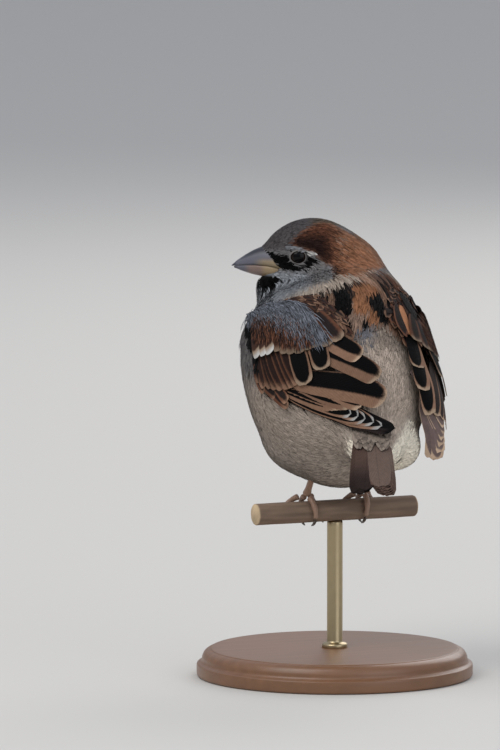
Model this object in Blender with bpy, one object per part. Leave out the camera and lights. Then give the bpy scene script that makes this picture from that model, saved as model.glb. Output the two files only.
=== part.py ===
"""Perched male house sparrow, a still life-size museum-type model on a cut hedge twig and a stand.

Units: the tables below are millimetres, turned into metres when a mesh is made.
Frame: +Z up, the bird heads along -Y, its left side is +X, origin at the centre of the stand's underside.
The body is a smooth union of ellipsoids (its feathered outline). Every flesh node is cast as a star of
rays from a point inside itself, out to that union and to flat planes that keep the nodes 0.3 mm apart.
Wings, tail, bill, eyes, legs, toes and claws are their own solids; where one goes into the flesh, the
flesh has a pocket 0.35 mm wider than the solid."""
import bpy
import numpy as np

for old in list(bpy.data.objects):
    bpy.data.objects.remove(old, do_unlink=True)

MM = 0.001
GAP = 0.3                      # air left between neighbouring nodes
PERCH_Z = 53.0                 # height of the perch axis
PERCH_R = 3.6                  # radius of the cut twig
BASE_R, BASE_H = 44.0, 9.0     # stand base
ROD_R = 2.5                    # stand rod
HEAD = np.array([-2.3, -18.0, 131.4])
HEAD_YAW = 65.0                # the head is turned this far to the bird's left
HEAD_PITCH = -2.0
EYE = (6.0, 6.7, 1.9)          # eyeball centre in the head's forward, left, up
EYE_R = 3.4
BILL_TIP = (27.5, 0.0, -0.7)
TAIL_ROOT = np.array([-0.2, 25.5, 83.4])
TAIL_TIP = np.array([16.6, 64.3, 66.2])
TAIL_W0, TAIL_W1 = 7.0, 13.6   # closed tail width at root and near the tip


def unit(v):
    v = np.asarray(v, float)
    return v / np.linalg.norm(v)


def head_axes():
    """Rows: forward, left and up of the head."""
    y, p = np.radians(HEAD_YAW), np.radians(HEAD_PITCH)
    f = np.array([np.sin(y) * np.cos(p), -np.cos(y) * np.cos(p), np.sin(p)])
    left = np.array([np.cos(y), np.sin(y), 0.0])
    return np.array([f, left, np.cross(f, left)])


HF = head_axes()
STRAIGHT = np.array([[0, -1.0, 0], [1.0, 0, 0], [0, 0, 1.0]])


def pitched(deg):
    """Axes of a mass whose front is lifted by deg."""
    c, s = np.cos(np.radians(deg)), np.sin(np.radians(deg))
    return np.array([[0, -c, s], [1, 0, 0], [0, s, c]])


def toward(azim, drop):
    """Axes of a mass that points back, azim to the left of straight back, drop below level."""
    a, d = np.radians(azim), np.radians(drop)
    f = np.array([np.sin(a) * np.cos(d), np.cos(a) * np.cos(d), -np.sin(d)])
    left = np.array([np.cos(a), -np.sin(a), 0])
    return np.array([f, left, np.cross(left, f)])


def at_head(p):
    return HEAD + np.asarray(p, float) @ HF


# centre, radii (forward, left, up), axes, blend width
MASSES = [
    ((0.3, 0.7, 93.9), (35.1, 27.7, 30.8), pitched(45), 7),        # barrel of the body
    ((-0.3, -15.0, 102.6), (21.7, 23.0, 23.0), STRAIGHT, 7),       # breast
    ((-4.3, 2.9, 111.1), (16.8, 19.6, 13.2), pitched(40), 7),      # mantle
    ((-1.1, 20.8, 89.4), (16.9, 15.2, 13.0), pitched(50), 7),      # rump
    ((1.0, 31.0, 78.0), (15, 10, 6.5), toward(20, 16), 5),         # vent, undertail coverts
    ((1.0, 30.0, 82.0), (13, 9, 5), toward(22, 24), 5),            # uppertail coverts
    ((12.4, -2.0, 74.8), (11.6, 8.8, 7.8), STRAIGHT, 5),           # left thigh fluff
    ((-11.8, -1.9, 70.8), (10.4, 8.6, 9.2), STRAIGHT, 5),          # right thigh fluff
    ((-11.5, -10.5, 117.4), (16.2, 15.6, 14.3), STRAIGHT, 9),      # neck
    (at_head((1.6, 0, 2.0)), (14.5, 10.4, 11.4), HF, 3),           # skull
    (at_head((8.6, 0, 0.9)), (8.4, 5.3, 8.1), HF, 3),              # forehead and lores
    (at_head((3.8, 5.4, -5.0)), (8.6, 5.8, 6.1), HF, 3),           # left cheek
    (at_head((3.8, -5.4, -5.0)), (8.6, 5.8, 6.1), HF, 3),          # right cheek
    (at_head((12.2, 0, -9.5)), (7.7, 7.5, 9.3), HF, 3),            # throat
    (at_head((-6.6, 0, -3.8)), (14.1, 11.7, 12.0), HF, 4),         # nape
]


def field(p):
    """Distance-like value of the smooth union: below zero inside the feathered outline, in mm."""
    total = None
    for centre, radii, axes, blend in MASSES:
        q = (p - np.asarray(centre)) @ axes.T
        r = np.asarray(radii, float)
        k0 = np.linalg.norm(q / r, axis=-1)
        k1 = np.linalg.norm(q / r ** 2, axis=-1)
        d = k0 * (k0 - 1.0) / np.maximum(k1, 1e-9)
        if total is None:
            total = d
            continue
        h = np.clip(0.5 + 0.5 * (total - d) / blend, 0.0, 1.0)
        total = total * (1 - h) + d * h - blend * h * (1 - h)
    return total


def gradient(p):
    e = 0.05
    cols = [field(p + np.eye(3)[i] * e) - field(p - np.eye(3)[i] * e) for i in range(3)]
    return np.stack(cols, -1) / (2 * e)


def onto(p, level):
    """Move points along the field's slope until they lie on one level of it."""
    p = np.array(p, float)
    for _ in range(6):
        g = gradient(p)
        step = (field(p) - level) / np.maximum((g * g).sum(-1), 0.05)
        p = p - np.clip(step, -4, 4)[..., None] * g
    return p


def cast(centre, dirs, planes, reach=80.0, level=0.0):
    """Distance along each ray to the outline or to the nearest plane (point, outward normal)."""
    def solid(p):
        f = field(p) - level
        for point, normal in planes:
            f = np.maximum(f, (p - point) @ normal)
        return f
    lo = np.zeros(len(dirs))
    hi = np.full(len(dirs), reach)
    open_ray = np.ones(len(dirs), bool)
    last = np.zeros(len(dirs))
    for t in np.linspace(0, reach, 161)[1:]:
        out = (solid(centre + dirs * t) > 0) & open_ray
        hi[out] = t
        lo[out] = last[out]
        open_ray &= ~out
        last[open_ray] = t
    for _ in range(20):
        mid = (lo + hi) / 2
        out = solid(centre + dirs * mid[:, None]) > 0
        lo, hi = np.where(out, lo, mid), np.where(out, mid, hi)
    return (lo + hi) / 2


def make(name, verts_mm, faces):
    """Closed mesh object from millimetre points; faces are turned outward by the sign of the volume."""
    v = np.asarray(verts_mm, float) * MM
    vol = 0.0
    mid = v.mean(0)
    for f in faces:
        for i in range(1, len(f) - 1):
            vol += np.dot(v[f[0]] - mid, np.cross(v[f[i]] - mid, v[f[i + 1]] - mid))
    if vol < 0:
        faces = [tuple(reversed(f)) for f in faces]
    mesh = bpy.data.meshes.new(name)
    mesh.from_pydata([tuple(x) for x in v], [], [tuple(int(i) for i in f) for f in faces])
    mesh.validate()
    obj = bpy.data.objects.new(name, mesh)
    bpy.context.collection.objects.link(obj)
    return obj


def tube(rings, start=None, end=None):
    """Points and faces of rings joined in order, each end closed by a point."""
    rings = [np.asarray(r, float) for r in rings]
    n = len(rings[0])
    verts = np.concatenate(rings)
    start = rings[0].mean(0) if start is None else np.asarray(start, float)
    end = rings[-1].mean(0) if end is None else np.asarray(end, float)
    faces = []
    for i in range(len(rings) - 1):
        for j in range(n):
            k = (j + 1) % n
            faces.append((i * n + j, i * n + k, (i + 1) * n + k, (i + 1) * n + j))
    a = len(verts)
    last = (len(rings) - 1) * n
    for j in range(n):
        k = (j + 1) % n
        faces.append((a, k, j))
        faces.append((a + 1, last + j, last + k))
    return np.vstack([verts, start, end]), faces


def star(name, centre, pole, rows, cols, planes):
    """A flesh node: rays from centre on a globe grid whose pole points along pole. Each meridian has a row
    exactly where a flat cut meets the round outline, so that the cut's rim is clean."""
    centre = np.asarray(centre, float)
    pole = unit(pole)
    side = unit(np.cross(pole, [0.3, 0.2, 1.0] if abs(pole[2]) < 0.9 else [1.0, 0, 0]))
    other = np.cross(pole, side)
    lon = np.linspace(0, 2 * np.pi, cols, endpoint=False)
    around = side * np.cos(lon)[:, None] + other * np.sin(lon)[:, None]

    def ray(lat):
        return pole * np.cos(lat)[:, None] + around * np.sin(lat)[:, None]

    def flat(lat, which):
        d = ray(lat)
        return cast(centre, d, planes) > cast(centre, d, []) - 1e-4 if which is None else \
            cast(centre, d, []) > cast(centre, d, planes) + 1e-4

    lat = np.linspace(0, np.pi, 25)
    cut = np.array([flat(np.full(cols, a), 1) for a in lat])
    rims = []
    for end in (0, 1):
        seq = cut if end == 0 else cut[::-1]
        if not seq[0].all():
            rims.append(None)
            continue
        first = np.argmin(seq, axis=0)
        lo, hi = lat[first - 1].copy(), lat[first].copy()
        for _ in range(14):
            mid = (lo + hi) / 2
            still = flat(mid if end == 0 else np.pi - mid, 1)
            lo, hi = np.where(still, mid, lo), np.where(still, hi, mid)
        rims.append(lo if end == 0 else np.pi - lo)
    top = rims[0] if rims[0] is not None else np.zeros(cols)
    low = rims[1] if rims[1] is not None else np.full(cols, np.pi)
    cap = max(2, rows // 6)
    lats = []
    if rims[0] is not None:
        lats += [top * k / cap for k in range(1, cap)] + [top]
    n = rows - len(lats) - (cap if rims[1] is not None else 0)
    lats += [top + (low - top) * k / n for k in range(1, n)]
    if rims[1] is not None:
        lats += [low] + [low + (np.pi - low) * k / cap for k in range(1, cap)]
    rings = []
    for a in lats:
        d = ray(a)
        rings.append(centre + d * cast(centre, d, planes)[:, None])
    ends = np.array([pole, -pole])
    tips = centre + ends * cast(centre, ends, planes)[:, None]
    return make(name, *tube(rings, tips[0], tips[1]))


def ellipsoid(name, centre, radii, axes, rows=8, cols=12):
    lat = np.linspace(0, np.pi, rows + 1)[1:-1]
    lon = np.linspace(0, 2 * np.pi, cols, endpoint=False)
    r = np.asarray(radii, float)
    def at(a, b):
        q = np.stack([np.cos(a) + 0 * b, np.sin(a) * np.cos(b), np.sin(a) * np.sin(b)], -1)
        return np.asarray(centre) + (q * r) @ axes
    rings = [at(a, lon) for a in lat]
    return make(name, *tube(rings, at(0.0, np.array(0.0)), at(np.pi, np.array(0.0))))


def smooth_path(points, n, closed=False):
    """Catmull-Rom curve through the points, n samples evenly spaced in the parameter."""
    p = np.asarray(points, float)
    p = np.vstack([2 * p[0] - p[1], p, 2 * p[-1] - p[-2]])
    t = np.linspace(0, len(p) - 3 - 1e-9, n)
    i = t.astype(int)
    u = (t - i)[:, None]
    a, b, c, d = p[i], p[i + 1], p[i + 2], p[i + 3]
    return 0.5 * (2 * b + (c - a) * u + (2 * a - 5 * b + 4 * c - d) * u ** 2
                  + (3 * b - a - 3 * c + d) * u ** 3)


def blade(name, mid, normal, thick, grow=0.0):
    """Closed plate from a grid of mid points, their normals and thicknesses; grow swells it all round."""
    mid = np.array(mid, float)
    if grow:
        du = mid[1] - mid[0]
        mid = np.concatenate([[mid[0] - grow * du / np.linalg.norm(du, axis=-1, keepdims=True)], mid])
        du = mid[-1] - mid[-2]
        mid = np.concatenate([mid, [mid[-1] + grow * du / np.linalg.norm(du, axis=-1, keepdims=True)]])
        dv = mid[:, 1] - mid[:, 0]
        first = mid[:, :1] - grow * (dv / np.linalg.norm(dv, axis=-1, keepdims=True))[:, None]
        dv = mid[:, -1] - mid[:, -2]
        lastc = mid[:, -1:] + grow * (dv / np.linalg.norm(dv, axis=-1, keepdims=True))[:, None]
        mid = np.concatenate([first, mid, lastc], 1)
        normal = np.pad(normal, ((1, 1), (1, 1), (0, 0)), mode="edge")
        thick = np.pad(thick, ((1, 1), (1, 1)), mode="edge") + 2 * grow
    half = thick[..., None] / 2
    top, low = mid + normal * half, mid - normal * half
    nu, nv = mid.shape[:2]
    verts = np.concatenate([top.reshape(-1, 3), low.reshape(-1, 3)])
    m = nu * nv
    faces = []
    for i in range(nu - 1):
        for j in range(nv - 1):
            a, b, c, d = i * nv + j, i * nv + j + 1, (i + 1) * nv + j + 1, (i + 1) * nv + j
            faces.append((a, b, c, d))
            faces.append((m + d, m + c, m + b, m + a))
    edge = [j for j in range(nv)] + [i * nv + nv - 1 for i in range(1, nu)]
    edge += [(nu - 1) * nv + j for j in range(nv - 2, -1, -1)] + [i * nv for i in range(nu - 2, 0, -1)]
    for a, b in zip(edge, edge[1:] + edge[:1]):
        faces.append((b, a, m + a, m + b))
    return make(name, verts, faces)


def carve(body, cutters):
    """Boolean difference, one cutter at a time, then the cutters are removed."""
    for cutter in cutters:
        mod = body.modifiers.new("pocket", "BOOLEAN")
        mod.operation = "DIFFERENCE"
        mod.solver = "EXACT"
        mod.object = cutter
        graph = bpy.context.evaluated_depsgraph_get()
        mesh = bpy.data.meshes.new_from_object(body.evaluated_get(graph))
        body.modifiers.clear()
        body.data = mesh
        bpy.data.objects.remove(cutter, do_unlink=True)


# ---------------------------------------------------------------- wings
# guide lines from the wrist back to the wing tip: lower (primary) edge and upper (tertial) edge
WING = {
    "left": {
        "lower": [(22.5, -18.0, 101.5), (27.5, -6.0, 95.5), (27.8, 5.0, 92.5), (24.5, 16.0, 89.4),
                  (19.2, 25.0, 86.4), (11.6, 34.4, 83.4), (4.6, 38.6, 81.2), (-1.4, 40.2, 80.2)],
        "upper": [(22.0, -14.0, 116.0), (19.5, -2.0, 118.5), (14.0, 10.0, 117.5), (9.0, 20.5, 111.5),
                  (4.6, 27.4, 105.3), (1.4, 32.8, 99.2), (-0.2, 36.6, 91.0), (-3.4, 40.6, 82.4)],
        "stand_off": (0.35, 0.35, 0.35, 0.35, 0.5, 1.0, 1.6, 2.2),
        "stand_off_up": (0.35, 0.35, 0.35, 0.35, 0.35, 0.6, 1.0, 2.0),
    },
    "right": {
        "lower": [(-25.0, -18.0, 100.0), (-29.5, -8.0, 93.5), (-31.8, 3.0, 87.0), (-32.4, 12.0, 81.2),
                  (-31.5, 19.0, 76.8), (-29.0, 24.5, 73.2), (-25.5, 29.0, 70.8), (-21.0, 33.0, 69.8)],
        "upper": [(-23.0, -14.0, 116.5), (-22.5, -2.0, 118.0), (-18.0, 10.0, 116.5), (-12.0, 20.6, 110.8),
                  (-10.7, 28.1, 105.9), (-9.6, 32.5, 99.3), (-10.2, 35.6, 89.5), (-17.5, 34.6, 71.6)],
        "stand_off": (0.35, 1.6, 3.4, 5.6, 7.4, 9.2, 10.0, 10.0),
        "stand_off_up": (0.35, 0.35, 0.35, 0.35, 0.5, 1.2, 2.6, 9.0),
    },
}
WING_T0, WING_T1 = 2.2, 0.9      # wing thickness at the shoulder and at the tip


def wing_sheet(side, u0, u1, v0, v1, nu, nv):
    """Mid points, normals and thickness of one part of a folded wing; u runs wrist to tip, v low to high."""
    w = WING[side]
    fine = 71
    low, up = smooth_path(w["lower"], fine), smooth_path(w["upper"], fine)
    knots = np.linspace(0, 1, len(w["stand_off"]))
    u = np.linspace(u0, u1, nu)
    v = np.linspace(v0, v1, nv)
    s = np.linspace(0, 1, fine)
    lo = np.stack([np.interp(u, s, low[:, i]) for i in range(3)], -1)
    hi = np.stack([np.interp(u, s, up[:, i]) for i in range(3)], -1)
    p = lo[:, None] * (1 - v[None, :, None]) + hi[:, None] * v[None, :, None]
    off = (np.interp(u, knots, w["stand_off"])[:, None] * (1 - v)[None]
           + np.interp(u, knots, w["stand_off_up"])[:, None] * v[None])
    thick = np.broadcast_to((WING_T0 + (WING_T1 - WING_T0) * u ** 1.3)[:, None], off.shape).copy()
    p = onto(p.reshape(-1, 3), (off + thick / 2).reshape(-1)).reshape(nu, nv, 3)
    du = np.gradient(p, axis=0)
    dv = np.gradient(p, axis=1)
    n = np.cross(du, dv)
    n /= np.linalg.norm(n, axis=-1, keepdims=True)
    g = gradient(p.reshape(-1, 3)).reshape(n.shape)
    n *= np.sign((n * g).sum(-1, keepdims=True))
    return p, n, thick


PARTS = (("shoulder", 0.0, 0.425, 0.0, 1.0, 8, 7), ("tertials", 0.432, 0.86, 0.555, 1.0, 7, 5),
         ("primaries", 0.432, 1.0, 0.0, 0.545, 10, 5))
for side in WING:
    for part, u0, u1, v0, v1, nu, nv in PARTS:
        blade("wing_%s_%s" % (side, part), *wing_sheet(side, u0, u1, v0, v1, nu, nv))


# ---------------------------------------------------------------- tail
def tail_sheet(x0, x1, lift, nu=7, nv=3, s0=0.0, s1=1.0):
    """Part of the closed tail between the fractions x0 and x1 of its width, left positive."""
    run = TAIL_TIP - TAIL_ROOT
    f = unit(run)
    left = unit(np.cross(f, [0, 0, 1.0])) * -1.0
    if left[0] < 0:
        left = -left
    upn = np.cross(left, f)
    if upn[2] < 0:
        upn = -upn
    s = np.linspace(s0, s1, nu)
    x = np.linspace(x0, x1, nv)
    half = (TAIL_W0 + (TAIL_W1 - TAIL_W0) * s) / 2
    notch = 1.0 - 0.035 * (1 - np.abs(x)) * 1.0
    p = (TAIL_ROOT + run * s[:, None, None] * notch[None, :, None]
         + left * (half[:, None] * x[None])[..., None]
         + upn * (lift - 0.9 * np.abs(x)[None] ** 2 * s[:, None] - 2.2 * (s * (1 - s) * 1.0)[:, None] * -1.0)[..., None])
    du = np.gradient(p, axis=0)
    dv = np.gradient(p, axis=1)
    n = np.cross(du, dv)
    n /= np.linalg.norm(n, axis=-1, keepdims=True)
    n *= np.sign((n @ upn))[..., None]
    return p, n, np.full(p.shape[:2], 0.9)


TAIL = (("tail_centre", -0.55, 0.55, 1.25), ("tail_left", -0.02 + 0.06, 1.0, 0.0),
        ("tail_right", -1.0, -0.04, 0.0))
for name, x0, x1, lift in TAIL:
    blade(name, *tail_sheet(x0, x1, lift))


# ---------------------------------------------------------------- bill
def bill(name, upper, grow=0.0):
    """Half of the bill: sections across the forward axis between the culmen (or gonys) and the edge."""
    s = np.array([11.4, 13.6, 15.8, 18.0, 20.2, 22.4, 24.4, 26.0, 27.1])
    culmen = np.interp(s, [11, 15, 18, 20.5, 23, 25.5, 27.5], [5.6, 5.6, 5.0, 3.9, 2.4, 0.8, -0.9])
    gonys = np.interp(s, [11, 15, 18.8, 21, 24, 26.5, 27.5], [-5.0, -5.0, -4.3, -3.7, -2.6, -1.5, -1.1])
    edge = np.interp(s, [11, 13, 16, 20, 24, 27.5], [-2.3, -1.6, -0.9, -0.6, -0.7, -1.0])
    width = np.interp(s, [11, 14, 16.5, 19, 22, 25, 27.5], [4.2, 4.4, 4.2, 3.7, 2.6, 1.25, 0.3])
    rings = []
    for i in range(len(s)):
        a = np.linspace(0, np.pi, 9)
        if upper:
            h = max(culmen[i] - edge[i] - GAP / 2, 0.25)
            y = width[i] * np.cos(a)
            z = edge[i] + GAP / 2 + h * np.sin(a) ** 0.85
        else:
            h = max(edge[i] - GAP / 2 - gonys[i], 0.25)
            y = width[i] * 0.94 * np.cos(a)
            z = edge[i] - GAP / 2 - h * np.sin(a) ** 0.85
        ring = np.stack([np.full(9, s[i]), y, z], -1)
        if grow:
            mid = np.array([s[i], 0.0, (z.max() + z.min()) / 2])
            out = ring - mid
            ring = ring + grow * 1.5 * out / np.maximum(np.linalg.norm(out, axis=-1, keepdims=True), 1e-6)
            ring[:, 0] -= grow if i == 0 else 0
        rings.append(HEAD + ring @ HF)
    tip_z = -0.55 if upper else -1.45
    tip_s = BILL_TIP[0] if upper else BILL_TIP[0] - 0.3
    tip = at_head((tip_s + grow, 0, BILL_TIP[2] + (0.1 if upper else -0.65)))
    return make(name, *tube(rings, None, tip))


bill("bill_upper", True)
bill("bill_lower", False)

# ---------------------------------------------------------------- eyes
for side, sign in (("left", 1), ("right", -1)):
    ellipsoid("eye_" + side, at_head((EYE[0], sign * EYE[1], EYE[2])), (EYE_R, EYE_R, EYE_R), HF, 8, 12)

# ---------------------------------------------------------------- legs and feet
PERCH_X = 28.0
TOE_R0, TOE_R1 = 0.95, 0.72
FOOT_Z = PERCH_Z + PERCH_R + GAP + 1.25


def limb(name, path, radii, n=8, grow=0.0, start=None, end=None):
    """Round limb along a path: one ring of n points about each path point."""
    path = np.asarray(path, float)
    rings = []
    tan = np.gradient(path, axis=0)
    ref = np.array([1.0, 0.05, 0.02])
    for p, t, r in zip(path, tan, radii):
        t = unit(t)
        a = unit(ref - t * np.dot(ref, t))
        b = np.cross(t, a)
        ang = np.linspace(0, 2 * np.pi, n, endpoint=False)
        rings.append(p + (r + grow) * (np.cos(ang)[:, None] * a + np.sin(ang)[:, None] * b))
    e = path[-1] + unit(tan[-1]) * (radii[-1] * 0.6 + grow) if end is None else end
    s = path[0] - unit(tan[0]) * (radii[0] * 0.4 + grow) if start is None else start
    return make(name, *tube(rings, s, e))


THIGH, TARSUS, FOOT = {}, {}, {}
for side, sign in (("left", 1.0), ("right", -1.0)):
    foot = np.array([sign * 10.0, 0.4, FOOT_Z + 0.75])
    ankle = np.array([sign * 11.6, 12.5, 72.5])
    knee = np.array([sign * 13.0, -2.0, 82.0])
    FOOT[side] = foot
    THIGH[side] = ([knee, knee * 0.5 + ankle * 0.5, ankle + unit(knee - ankle) * 1.6], (4.2, 3.2, 1.7))
    shaft = ankle + unit(foot - ankle) * 1.2
    TARSUS[side] = ([shaft, shaft * 0.6 + foot * 0.4, foot * 0.85 + shaft * 0.15, foot], (1.1, 1.0, 1.1, 1.45))
    limb("leg_" + side, *THIGH[side])
    limb("tarsus_" + side, *TARSUS[side])
    for i, (dx, splay, start, sweep, claw) in enumerate(((0.0, 0.0, -94.0, 118.0, 34.0),
                                                          (2.35, 4.2, -94.0, 98.0, 32.0),
                                                          (-2.35, -4.4, -94.0, 106.0, 32.0),
                                                          (0.0, 0.0, -94.0, -112.0, -40.0))):
        hind = i == 3
        n = 7
        t = np.linspace(0, 1, n)
        lead = 24.0 if i == 0 else 20.0
        first = -90.0 + (lead if not hind else -26.0)
        ang = np.radians(first + (sweep - (lead if not hind else -26.0)) * t)
        r_t = TOE_R0 + (TOE_R1 - TOE_R0) * t
        rad = PERCH_R + GAP + 0.12 + r_t
        x = foot[0] + sign * (dx + splay * t) if not hind else foot[0] + sign * (-0.2 - 1.0 * t)
        path = np.stack([x, rad * np.sin(-(ang + np.pi / 2)), PERCH_Z + rad * np.cos(ang + np.pi / 2)], -1)
        kind = "toe_%s_%d" % (side, 1 if hind else i + 2)
        limb(kind, path, r_t, n=7)
        c = np.linspace(0, 1, 4)
        endang = ang[-1] + np.radians(12.0 if not hind else -12.0)
        cang = endang + np.radians(claw) * c
        r_c = np.array([0.6, 0.5, 0.36, 0.2])
        crad = rad[-1] - TOE_R1 + r_c + 0.05 + 0.3 * c
        cpath = np.stack([np.full(4, x[-1]) + sign * splay * 0.05 * c, crad * np.sin(-(cang + np.pi / 2)),
                          PERCH_Z + crad * np.cos(cang + np.pi / 2)], -1)
        limb("claw_%s_%d" % (side, 1 if hind else i + 2), cpath, r_c, n=6)

# ---------------------------------------------------------------- flesh
UP = np.array([0, 0, 1.0])
N1, P1 = unit((0.10, -0.34, 0.94)), np.array([-4.0, -14.0, 118.5])
N2, P2 = unit((0.02, -0.46, 0.89)), np.array([-3.0, -8.0, 107.5])
N3, P3 = unit((0.12, 0.90, -0.42)), np.array([0.0, 23.0, 85.0])
h = GAP / 2 + 0.02
head = star("head", at_head((0.5, 0, -0.5)), -N1, 20, 32, [(P1 + N1 * h, -N1)])
neck = star("neck", (-6.5, -11.5, 112.8), N1, 16, 26, [(P1 - N1 * h, N1), (P2 + N2 * h, -N2)])
trunk = star("trunk", (0.0, -3.0, 90.0), unit(N2 - N3), 22, 32, [(P2 - N2 * h, N2), (P3 - N3 * h, N3)])
rump = star("rump", (0.8, 30.5, 79.5), -N3, 16, 26, [(P3 + N3 * h, -N3)])

wide = 0.38
carve(head, [bill("c1", True, wide), bill("c2", False, wide)]
      + [ellipsoid("c3", at_head((EYE[0], s * (EYE[1] + 0.55), EYE[2])), (EYE_R + .4, EYE_R + 1.0, EYE_R + .4), HF, 10, 16)
         for s in (1, -1)])
tail_cut = [blade("c_" + n, *tail_sheet(a, b, up, s0=-0.01), grow=wide) for n, a, b, up in TAIL]
carve(rump, tail_cut)
for side in ("left", "right"):
    cuts = [limb("c1", *THIGH[side], grow=wide), limb("c2", *TARSUS[side], grow=wide)]
    carve(trunk, cuts)

# ---------------------------------------------------------------- perch and stand
xs = np.linspace(-PERCH_X, PERCH_X, 7)
axis = np.stack([xs, 0 * xs, np.full(7, PERCH_Z)], -1)
limb("perch_twig", axis, np.full(7, PERCH_R), n=16, start=axis[0], end=axis[-1])
ang = np.linspace(0, 2 * np.pi, 48, endpoint=False)
circle = np.stack([np.cos(ang), np.sin(ang), 0 * ang], -1)
rings = [circle * r + UP * z for r, z in ((BASE_R - 0.6, 0.0), (BASE_R, 0.8), (BASE_R, BASE_H - 1.6),
                                          (BASE_R - 1.6, BASE_H))]
make("stand_base", *tube(rings))
top = PERCH_Z - PERCH_R - GAP
small = np.stack([np.cos(ang[::3]), np.sin(ang[::3]), 0 * ang[::3]], -1)
make("stand_rod", *tube([small * ROD_R + UP * z for z in (BASE_H + GAP, (BASE_H + top) / 2, top)]))

tris = 0
for o in bpy.data.objects:
    o.data.calc_loop_triangles()
    tris += len(o.data.loop_triangles)
print("nodes", len(bpy.data.objects), "triangles", tris)
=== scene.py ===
# %% [markdown]
# # A perched male house sparrow, fluffed against the cold
# The real bird is a small, round, compact body under some thousands of overlapping feathers. Here one
# smooth skin stands for the flesh, and every feather over it is a thin closed vane of its own. All shapes
# are worked out with numpy in millimetres and turned into metres when a mesh is made.
# The CAD frame gives every place: eyes, bill, perch, tail and wings are measured from its nodes.

import bpy
import numpy as np
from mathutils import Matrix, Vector


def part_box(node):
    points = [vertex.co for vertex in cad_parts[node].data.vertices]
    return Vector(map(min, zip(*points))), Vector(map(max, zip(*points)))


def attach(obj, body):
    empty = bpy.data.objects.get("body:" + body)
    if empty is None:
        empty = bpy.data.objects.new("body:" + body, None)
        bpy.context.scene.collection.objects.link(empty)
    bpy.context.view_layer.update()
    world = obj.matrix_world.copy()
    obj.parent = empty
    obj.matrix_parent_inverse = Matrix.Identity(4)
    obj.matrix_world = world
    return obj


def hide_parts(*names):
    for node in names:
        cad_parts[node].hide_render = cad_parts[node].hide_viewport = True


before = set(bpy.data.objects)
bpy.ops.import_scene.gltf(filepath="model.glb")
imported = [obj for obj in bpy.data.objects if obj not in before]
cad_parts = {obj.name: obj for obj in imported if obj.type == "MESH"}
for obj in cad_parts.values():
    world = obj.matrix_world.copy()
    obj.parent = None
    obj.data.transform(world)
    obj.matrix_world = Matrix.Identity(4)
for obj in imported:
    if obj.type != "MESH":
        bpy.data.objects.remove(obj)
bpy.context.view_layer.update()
MM = 0.001
SEED = 7


def node_mm(name):
    """Lowest and highest corner of a CAD node in millimetres."""
    lo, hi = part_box(name)
    return np.array(lo) / MM, np.array(hi) / MM


def unit(v):
    """Vectors divided by their own length."""
    v = np.asarray(v, float)
    return v / np.maximum(np.linalg.norm(v, axis=-1, keepdims=True), 1e-12)


eye_l = np.mean(node_mm("eye_left"), 0)
eye_r = np.mean(node_mm("eye_right"), 0)
EYE_R = (node_mm("eye_left")[1] - node_mm("eye_left")[0])[2] / 2
HEAD_LEFT = unit(eye_l - eye_r)
HEAD_PITCH = np.radians(-2.0)
level = np.array([HEAD_LEFT[1], -HEAD_LEFT[0], 0.0])
HEAD_FORWARD = level * np.cos(HEAD_PITCH) + np.array([0, 0, np.sin(HEAD_PITCH)])
HEAD_UP = np.cross(HEAD_FORWARD, HEAD_LEFT)
HF = np.array([HEAD_FORWARD, HEAD_LEFT, HEAD_UP])
EYE = np.array([6.0, np.linalg.norm(eye_l - eye_r) / 2, 1.9])
HEAD = (eye_l + eye_r) / 2 - EYE[0] * HEAD_FORWARD - EYE[2] * HEAD_UP
print("head centre", HEAD.round(1), "turned", round(float(np.degrees(np.arctan2(*level[:2] * [1, -1])))), "degrees")

# %% [markdown]
# ## The feathered outline
# A bird's outline is soft: barrel, breast, rump, thighs, neck, skull and cheeks run into each other. One
# way is sculpting, but a smooth union of ellipsoids says the same in a few named lines, and it gives a
# distance-like field, so skin, feather roots and wings can all be measured from one shape.

# %% Body masses and their smooth union
def pitched(deg):
    """Axes of a mass whose front is lifted by deg."""
    c, s = np.cos(np.radians(deg)), np.sin(np.radians(deg))
    return np.array([[0, -c, s], [1, 0, 0], [0, s, c]])


def toward(azim, drop):
    """Axes of a mass that points back, azim to the left of straight back and drop below level."""
    a, d = np.radians(azim), np.radians(drop)
    f = np.array([np.sin(a) * np.cos(d), np.cos(a) * np.cos(d), -np.sin(d)])
    left = np.array([np.cos(a), -np.sin(a), 0])
    return np.array([f, left, np.cross(left, f)])


def at_head(p):
    """World place of a point given as forward, left and up of the head's centre."""
    return HEAD + np.asarray(p, float) @ HF


def to_head(p):
    """Forward, left and up of the head's centre for points in world mm."""
    return (p - HEAD) @ HF.T


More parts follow.
